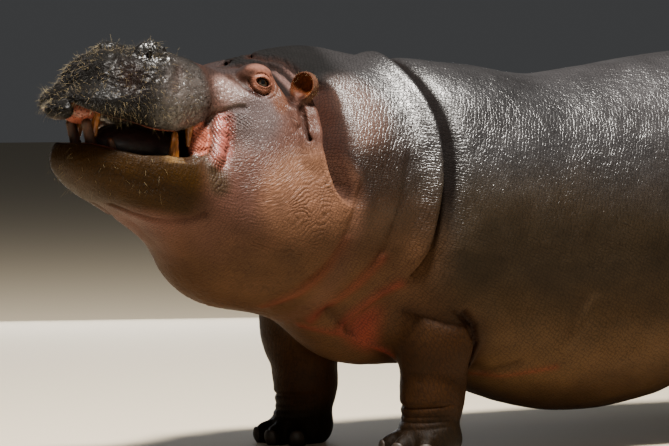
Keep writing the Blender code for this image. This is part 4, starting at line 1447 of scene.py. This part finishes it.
def skin_material():
    n = Nodes("skin")
    netted, rippled, pored = n.add("SeparateColor", {0: n.kept("relief", "Color")}).outputs
    wander = n.noise(7.0, 2.0, output="Color")
    bent = n.add("VectorMath", {0: wander, 1: (0.035, 0.035, 0.035), 2: n.place}, operation="MULTIPLY_ADD")
    bent = bent.outputs[0]

    def voronoi(vector, scale, feature):
        return n.add("TexVoronoi", {"Vector": vector, "Scale": scale}, feature=feature).outputs["Distance"]

    def plates(vector, per_metre, steep):
        """1 on the plates between a net of lines, falling to 0 in the lines."""
        moved = n.add("Mapping", {"Vector": vector, "Scale": per_metre}).outputs[0]
        return n.maths("SMOOTH_MIN", n.scaled(voronoi(moved, 1.0, "DISTANCE_TO_EDGE"), steep), 1.0, 0.3)

    def lines(along, rise, spacing):
        """1 on the bands between nearly parallel lines, falling to 0 in the lines."""
        phase = n.scaled(around, rise, n.scaled(along_body, along))
        phase = n.scaled(jitter, 6.0, n.scaled(phase, math.pi / spacing))
        band = n.maths("ABSOLUTE", n.maths("SINE", phase))
        return n.maths("SMOOTH_MIN", n.scaled(band, 1.7), 1.0, 0.25)

    # the net of lines runs along the body and round it
    along_body, sideways, upward = n.add("SeparateXYZ", {0: bent}).outputs
    angle = n.maths("ARCTAN2", n.maths("SUBTRACT", upward, 0.80), n.maths("ABSOLUTE", sideways))
    around = n.scaled(angle, 0.50)
    jitter = n.noise(55.0, 2.0)
    net = n.maths("MINIMUM", lines(0.42, 0.91, 0.0115), lines(0.93, -0.36, 0.0125))
    fine = plates(bent, (200, 180, 150), 4.0)
    ripple = plates(n.kept("lie", "Vector"), (165, 46, 40), 3.2)
    pores = n.add("MapRange", {0: voronoi(n.place, 120.0, "F1"), 1: 0.16, 2: 0.34}).outputs[0]
    lumps, grain, broad = n.noise(62.0, 1.5), n.noise(420.0, 3.0), n.noise(9.0, 5.0)
    # each pattern: where it is, how high it stands and how much painted shade darkens its low parts
    height, dark = n.scaled(grain, 0.06), n.scaled(broad, 0.9, 0.55)
    for pattern, where, high, shade in (
        (net, netted, 0.19, 0.46),
        (fine, 1.0, 0.07, 0.26),
        (ripple, rippled, 0.36, 0.34),
        (pores, pored, 0.80, 0.75),
    ):
        height = n.maths("MULTIPLY_ADD", pattern, n.scaled(where, high), height)
        veil = n.maths("MULTIPLY_ADD", n.maths("SUBTRACT", pattern, 1.0), n.scaled(where, shade), 1.0)
        dark = n.maths("MULTIPLY", dark, veil)
    height = n.maths("MULTIPLY_ADD", lumps, n.scaled(netted, 0.42, n.scaled(pored, 1.6, 0.1)), height)
    grey = n.add("CombineColor", {0: dark, 1: dark, 2: dark}).outputs[0]
    layers = {0: 1.0, 6: n.kept("hide", "Color"), 7: grey}
    tinted = n.add("Mix", layers, data_type="RGBA", blend_type="MULTIPLY").outputs[2]
    rough = n.scaled(grain, 0.16, n.maths("SUBTRACT", n.kept("gloss"), 0.08))
    constants = {"Coat Roughness": 0.30, "Coat IOR": 1.75, "Specular IOR Level": 0.08}
    bump = n.surfaced(tinted, rough, height, 0.9, 0.0036, **constants)
    n.link(bump, n.surface.inputs["Coat Normal"])
    patchy = n.add("MapRange", {0: broad, 1: 0.20, 2: 0.75, 3: 0.35}).outputs[0]
    n.link(n.maths("MULTIPLY", n.kept("wet"), patchy), n.surface.inputs["Coat Weight"])
    return n.material


def plain_material(name, dark, light, roughness, scale, bump_distance, stretch=(1, 1, 1), coat=0.0):
    n = Nodes(name)
    moved = n.add("Mapping", {"Vector": n.place, "Scale": stretch}).outputs[0]
    stain = n.noise(scale, 5.0, moved)
    colour = n.add("Mix", {0: n.scaled(stain, 2.2, -0.6), 6: (*dark, 1), 7: (*light, 1)}, data_type="RGBA")
    constants = {"Coat Weight": coat, "Coat Roughness": 0.12}
    rough = n.scaled(stain, 0.3, roughness - 0.15)
    n.surfaced(colour.outputs[2], rough, stain, 0.6, bump_distance, **constants)
    return n.material


skin_mesh.materials.append(skin_material())
FLESH_NODES = (
    "head", "lower_jaw", "neck", "trunk", "tail", "ear_left", "ear_right",
    "leg_front_left", "leg_front_right", "leg_hind_left", "leg_hind_right",
)
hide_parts(*FLESH_NODES)

# ---------------------------------------------------------------- eyes, teeth, nails and tongue

ENAMEL = plain_material("tooth", srgb(58, 29, 8), srgb(156, 96, 34), 0.34, 28.0, 0.0014, (3, 3, 0.8), 0.3)
# the lower incisors: stained dark brown, darkened further as painted shade
STAINED_AND_SHADED = plain_material("stained_and_shaded_tooth", srgb(22, 9, 3), srgb(78, 38, 9), 0.62, 34.0, 0.0018, (3, 3, 0.8))
NAIL = plain_material("nail", srgb(16, 10, 5), srgb(44, 30, 16), 0.60, 40.0, 0.0012, (2, 2, 1))
# the tongue near black: painted shade for the inside of the mouth
TONGUE_SHADE_LOOK = plain_material("tongue", srgb(14, 5, 4), srgb(40, 14, 10), 0.50, 90.0, 0.0022, coat=0.1)


# The eye's colours from its pupil outward: how far from its axis, in radians, and the colour.
IRIS = (
    (0.26, (0.003, 0.003, 0.003)), (0.32, (0.020, 0.010, 0.004)), (0.62, (0.014, 0.007, 0.003)),
    (0.72, (0.006, 0.003, 0.002)), (0.86, (0.16, 0.07, 0.05)),
)


def eye_material():
    n = Nodes("eye")
    fibres = n.noise(260.0, 4.0)
    from_axis = n.scaled(fibres, 0.10, n.maths("SUBTRACT", n.kept("disc"), 0.05))
    ramp = n.add("ValToRGB", {0: from_axis})
    stops = ramp.color_ramp.elements
    for i, (position, colour) in enumerate(IRIS):
        stop = stops[i] if i < 2 else stops.new(position)
        stop.position, stop.color = position, (*colour, 1)
    constants = {"Coat Weight": 0.5, "Specular IOR Level": 0.2, "Coat Roughness": 0.03}
    n.surfaced(ramp.outputs[0], n.scaled(fibres, 0.05, 0.04), fibres, 0.12, 0.0005, **constants)
    return n.material


EYE_LOOK = eye_material()
for side, word in ((1, "left"), (-1, "right")):
    bpy.ops.mesh.primitive_uv_sphere_add(segments=64, ring_count=40, radius=EYE_RADIUS - EYE_PLAY)
    ball = bpy.context.object.data
    bpy.data.objects.remove(bpy.context.object)
    gaze = Vector(np.array([EYE_OUT.x, side * EYE_OUT.y, EYE_OUT.z]) @ HEAD_AXES)
    keep(ball, "disc", "FLOAT", [v.co.angle(gaze) for v in ball.vertices])
    ball.shade_smooth()
    ball.materials.append(EYE_LOOK)
    eye = piece_of("eyeball_" + word, ball, Matrix.Translation(from_head(EYE, side)))
    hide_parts("eye_" + word)


def field_piece(name, field, low, high, step, look, matrix=None, mirror=False):
    """A piece drawn from a field of its own, mirrored to the right side if asked."""
    points, quads = drawn(field, even(low, high, step))
    points = settled(field, points, 0.3 * step)
    faces = quads
    if mirror:
        points = points * np.array([1, -1, 1])
        faces = quads[:, ::-1]
    mesh = mesh_of(name, points, faces.tolist())
    mesh.materials.append(look)
    piece = piece_of(name, mesh, matrix)
    return piece


def worn_tusk(p):
    ribs = 0.0010 * np.cos(9 * np.arctan2(p[:, 1] - 0.156, p[:, 0] - 0.518))
    return tusk(p) + ribs + 0.0008 * noise(p, 0.012)


for word, mirror in (("left", False), ("right", True)):
    made = field_piece("canine_" + word, worn_tusk, (0.46, 0.11, -0.48), (0.57, 0.20, -0.26), 0.0020,
                       ENAMEL, HEAD_MATRIX, mirror)
    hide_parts("tusk_" + word)


def incisors(p):
    m = mirrored(p)
    f = limb(m, (0.745, 0.045, -0.420, 0.021), (0.803, 0.047, -0.300, 0.017), flat=0.9)
    f = np.minimum(f, limb(m, (0.700, 0.095, -0.425, 0.018), (0.738, 0.102, -0.345, 0.012)))
    return f + 0.0010 * noise(p, 0.010)


def upper_teeth(p):
    """The upper incisors and canines."""
    m = mirrored(p)
    f = limb(m, (0.765, 0.045, -0.230, 0.015), (0.770, 0.047, -0.332, 0.012))
    f = np.minimum(f, limb(m, (0.463, 0.138, -0.240, 0.016), (0.460, 0.145, -0.313, 0.007)))
    return f + 0.0010 * noise(p, 0.010)


# the lower incisors wear the stained tooth colour with painted shade
field_piece("lower_incisors", incisors, (0.67, -0.14, -0.46), (0.86, 0.14, -0.26), 0.0026,
            STAINED_AND_SHADED, HEAD_MATRIX)
field_piece("upper_teeth", upper_teeth, (0.42, -0.18, -0.36), (0.80, 0.18, -0.19), 0.0026,
            ENAMEL, HEAD_MATRIX)
# the tongue wears painted shade
made = field_piece("tongue_flesh", tongue, (0.34, -0.13, -0.45), (0.76, 0.13, -0.24), 0.0040,
                   TONGUE_SHADE_LOOK, HEAD_MATRIX)
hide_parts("tongue")


def nail(q):
    """A nail in its toe's axes: forward, aside, up from the toe's middle."""
    f = ellipsoid(q, (0, 0, 0), (0.0585, 0.0405, 0.0500), (0, -12, 0))
    wedge = ellipsoid(q, (0.048, 0, -0.004), (0.026, 0.027, 0.030), (0, 20, 0), 2.6)
    return carve(f, -wedge, 0.003)


def all_nails():
    """One nail's shape, repeated on every toe."""
    shape, quads = drawn(nail, even((0.0, -0.05, -0.06), (0.09, 0.05, 0.05), 0.0028))
    shape = settled(nail, shape, 0.001)
    points, faces = [], []
    for place in FEET:
        for angle in TOE_ANGLES:
            c, s = math.cos(math.radians(angle)), math.sin(math.radians(angle))
            faces.append(quads + len(shape) * len(points))
            points.append(shape @ [(-c, s, 0), (-s, -c, 0), (0, 0, 1)] + toe_place(place, angle))
            points[-1][:, 2] = np.maximum(points[-1][:, 2], 0.0)
    mesh = mesh_of("nails", np.concatenate(points), np.concatenate(faces).tolist())
    mesh.materials.append(NAIL)
    return mesh


nails = piece_of("nails", all_nails())

# ---------------------------------------------------------------- bristles

HAIR_RINGS = 4
HAIR_SIDES = 3
PATCH = 0.003  # the size of one hair's patch on the map


def unwrap(p):
    """A place on the skin as the way along the body and the angle round it, both 0 to 1."""
    h = to_head(p)
    round_head = np.arctan2(h[:, 1], h[:, 2] + 0.28)
    round_body = np.arctan2(p[:, 1], p[:, 2] - 0.9)
    angle = np.where(fade(-p[:, 0], 0.35, 0.55) > 0.5, round_head, round_body)
    return np.column_stack([(p[:, 0] + 1.5) / 3.6, 0.5 + angle / (2 * math.pi)]) * (0.95, 0.96) + 0.02


def unit(ways):
    return ways / np.linalg.norm(ways, axis=1)[:, None]


def hairs(name, roots, along, bend, length, radius, look):
    """Bristles as thin tapered tubes: each leaves its root along one way and bends towards another."""
    side = unit(np.cross(along, (0.31, 0.52, 0.79)))
    other = np.cross(along, side)
    turns = 2 * math.pi * np.arange(HAIR_SIDES) / HAIR_SIDES
    ring = side[:, None] * np.cos(turns)[:, None] + other[:, None] * np.sin(turns)[:, None]
    blocks = []
    for t in np.arange(HAIR_RINGS) / HAIR_RINGS:
        centre = roots + (along * t + bend * t * t) * length[:, None]
        blocks.append(centre[:, None] + ring * (radius * (1 - 0.7 * t)))
    blocks.append((roots + (along + bend) * length[:, None])[:, None])
    vertices = np.concatenate(blocks, axis=1)
    tip = HAIR_RINGS * HAIR_SIDES
    per_hair = tip + 1
    faces = []
    for low in range(0, tip, HAIR_SIDES):
        for i in range(HAIR_SIDES):
            a, b = low + i, low + (i + 1) % HAIR_SIDES
            above = (b + HAIR_SIDES, a + HAIR_SIDES) if low + HAIR_SIDES < tip else (tip,)
            faces.append((a, b, *above))
    every = [tuple(per_hair * k + v for v in face) for k in range(len(roots)) for face in faces]
    mesh = mesh_of(name, vertices.reshape(-1, 3), every)
    # the map: each hair is a small patch at its root's place on the unwrapped skin
    number = np.arange(per_hair)
    local = np.column_stack([number % HAIR_SIDES / HAIR_SIDES, number // HAIR_SIDES / HAIR_RINGS]) - 0.5
    places = (unwrap(roots)[:, None] + PATCH * local).reshape(-1, 2)
    corners = np.empty(len(mesh.loops), dtype=np.int32)
    mesh.loops.foreach_get("vertex_index", corners)
    layer = mesh.uv_layers.new(name="OFBake")
    layer.uv.foreach_set("vector", places[corners].ravel())
    mesh.materials.append(look)
    piece = piece_of(name, mesh)


skin_points, skin_normals = points, normals_of(skin_mesh)
skin_mesh.calc_loop_triangles()
skin_triangles = np.empty(3 * len(skin_mesh.loop_triangles), dtype=np.int32)
skin_mesh.loop_triangles.foreach_get("vertices", skin_triangles)
skin_triangles = skin_triangles.reshape(-1, 3)


def rooted(chance, count, seed):
    """Places on the skin, more of them where the chance is higher, with the normals there."""
    draw = np.random.default_rng(seed)
    a, b, c = (skin_points[skin_triangles[:, k]] for k in range(3))
    weight = np.linalg.norm(np.cross(b - a, c - a), axis=1) * chance((a + b + c) / 3)
    picked = draw.choice(len(weight), size=count, p=weight / weight.sum())
    share = draw.dirichlet((1, 1, 1), count)[:, :, None]
    corners = skin_triangles[picked]
    places = (skin_points[corners] * share).sum(axis=1)
    return places, unit((skin_normals[corners] * share).sum(axis=1)), draw


HAIR = plain_material("bristle", srgb(84, 70, 44), srgb(190, 170, 124), 0.55, 60.0, 0.0002)
DARK_HAIR = plain_material("dark_bristle", srgb(8, 6, 4), srgb(34, 26, 17), 0.6, 60.0, 0.0002)
BACKWARD = -HEAD_AXES[0]
DOWN = np.array([0, 0, -1.0])
TAIL_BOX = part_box("tail")


def outer_skin(h):
    """1 on the closed head's surface and 0 inside the mouth."""
    return until(-closed_head(h), 0.008, 0.014)


def on_muzzle(p):
    h = to_head(p)
    u, _, w = h.T
    dense = fade(u, 0.54, 0.70) * fade(w, -0.30, -0.27)
    sparse = 0.10 * fade(u, 0.44, 0.54) * fade(w, -0.28, -0.24)
    chin = 0.16 * fade(u, 0.50, 0.66) * fade(-w, 0.36, 0.37) * until(-w, 0.50, 0.54)
    return (dense + sparse + chin) * outer_skin(h) * (0.35 + 0.65 * (noise(p, 0.03) > -0.1))


def on_ears(p):
    amount = np.zeros(len(p))
    for q in in_ears(p):
        x, y, z = q.T
        rim = np.exp(-((np.hypot(x - 0.002, z - 0.084) - 0.042) / 0.006) ** 2)
        amount += rim * (z > 0.05) * (np.linalg.norm(q, axis=1) < EAR_SPAN) * (y < 0.012)
    return amount


def on_tail(p):
    low, high = TAIL_BOX
    reach = 0.35 * (high[2] - low[2])
    return (p[:, 0] > low[0]) * until(p[:, 2], low[2], low[2] + reach) * (tail(p) < 0.006)


def scattered(draw, count, amount):
    return draw.normal(0, amount, (count, 3))


def bristles(name, where, count, seed, pulls, scatter, sag, waver, lengths, radius, sunk, look, early=False):
    """A set of bristles: pulls are how much each follows the normal, down and back."""
    places, normals, draw = rooted(where, count, seed)
    way = pulls[0] * normals + pulls[1] * DOWN + pulls[2] * BACKWARD
    way = unit(way + scattered(draw, count, scatter))
    length = draw.uniform(*lengths, count) if early else None
    bend = sag * DOWN + scattered(draw, count, waver)
    if not early:
        length = draw.uniform(*lengths, count)
    hairs(name, places - sunk * normals, way, bend, length, radius, look)


bristles("muzzle_bristles", on_muzzle, 1200, 11, (1, 0.35, 0.25), 0.38, 0.35, 0.35,
         (0.008, 0.030), 0.00030, 0.001, HAIR)
bristles("dark_muzzle_bristles", on_muzzle, 6000, 12, (1, 0.4, 0), 0.25, 0.25, 0.2,
         (0.006, 0.018), 0.00036, 0.001, DARK_HAIR)
bristles("ear_fringe", on_ears, 300, 13, (1, 0, 0), 0.3, 0, 0.2,
         (0.004, 0.010), 0.0002, 0.001, HAIR, early=True)
bristles("tail_bristles", on_tail, 700, 14, (0.8, 1, 0), 0.15, 0.6, 0.1,
         (0.020, 0.055), 0.0006, 0.002, DARK_HAIR)


# ---------------------------------------------------------------- floor, light and camera

floor_mesh = bpy.data.meshes.new("floor")
corners = [(x, y, 0) for x, y in ((-40, -40), (40, -40), (40, 60), (-40, 60))]
floor_mesh.from_pydata(corners, [], [(0, 1, 2, 3)])
floor = added("floor", floor_mesh)
floor_look = Nodes("floor")
floor_look.surface.inputs["Base Color"].default_value = (0.58, 0.50, 0.37, 1)
floor_look.surface.inputs["Roughness"].default_value = 0.8
floor_mesh.materials.append(floor_look.material)

world = bpy.data.worlds.new("studio")
bpy.context.scene.world = world
world.use_nodes = True
world.node_tree.nodes["Background"].inputs["Color"].default_value = (0.90, 0.92, 0.95, 1)
world.node_tree.nodes["Background"].inputs["Strength"].default_value = 0.055

# Softboxes: the place over the left front foot, what it faces, its sides, power and colour.
SOFTBOXES = {
    "key": ((-0.7, -1.8, 7.0), (0.1, 0, 0.9), (1.0, 1.0), 2100, (1.0, 0.95, 0.88)),
    "top": ((0.8, 0.6, 5.5), (0.5, 0, 1.0), (5.0, 2.0), 16, (0.82, 0.91, 1.0)),
    "fill": ((-3.6, -5.2, 1.9), (0, 0, 0.7), (3.0, 2.0), 30, (1.0, 0.93, 0.84)),
    "far_fill": ((1.6, 5.6, 0.9), (0, 0, 0.8), (4.0, 1.6), 110, (0.95, 0.97, 1.0)),
}
CAMERA_PLACE = (-4.715, -8.821, 1.25)  # over the left front foot
CAMERA_WAY = (0.45399, 0.89101, 0)
CAMERA_DIP = 2.61  # degrees that it looks down
LENS = 152.2
SENSOR = 36.0


def aim(thing, place, way):
    """Put a lamp or a camera at a place, looking that way."""
    thing.location = Vector(place) + OFFSET
    thing.rotation_euler = way.to_track_quat("-Z", "Y").to_euler()


for name, (place, target, sides, power, colour) in SOFTBOXES.items():
    light = bpy.data.lights.new(name, "AREA")
    light.shape = "RECTANGLE"
    light.size, light.size_y = sides
    light.energy = power
    light.color = colour
    aim(added(name, light), place, Vector(target) - Vector(place))

camera = bpy.data.cameras.new("camera")
camera.lens = LENS
camera.sensor_width = SENSOR
camera_object = added("camera", camera)
dip = math.radians(CAMERA_DIP)
aim(camera_object, CAMERA_PLACE, Vector(CAMERA_WAY) * math.cos(dip) - Vector((0, 0, math.sin(dip))))
bpy.context.scene.camera = camera_object
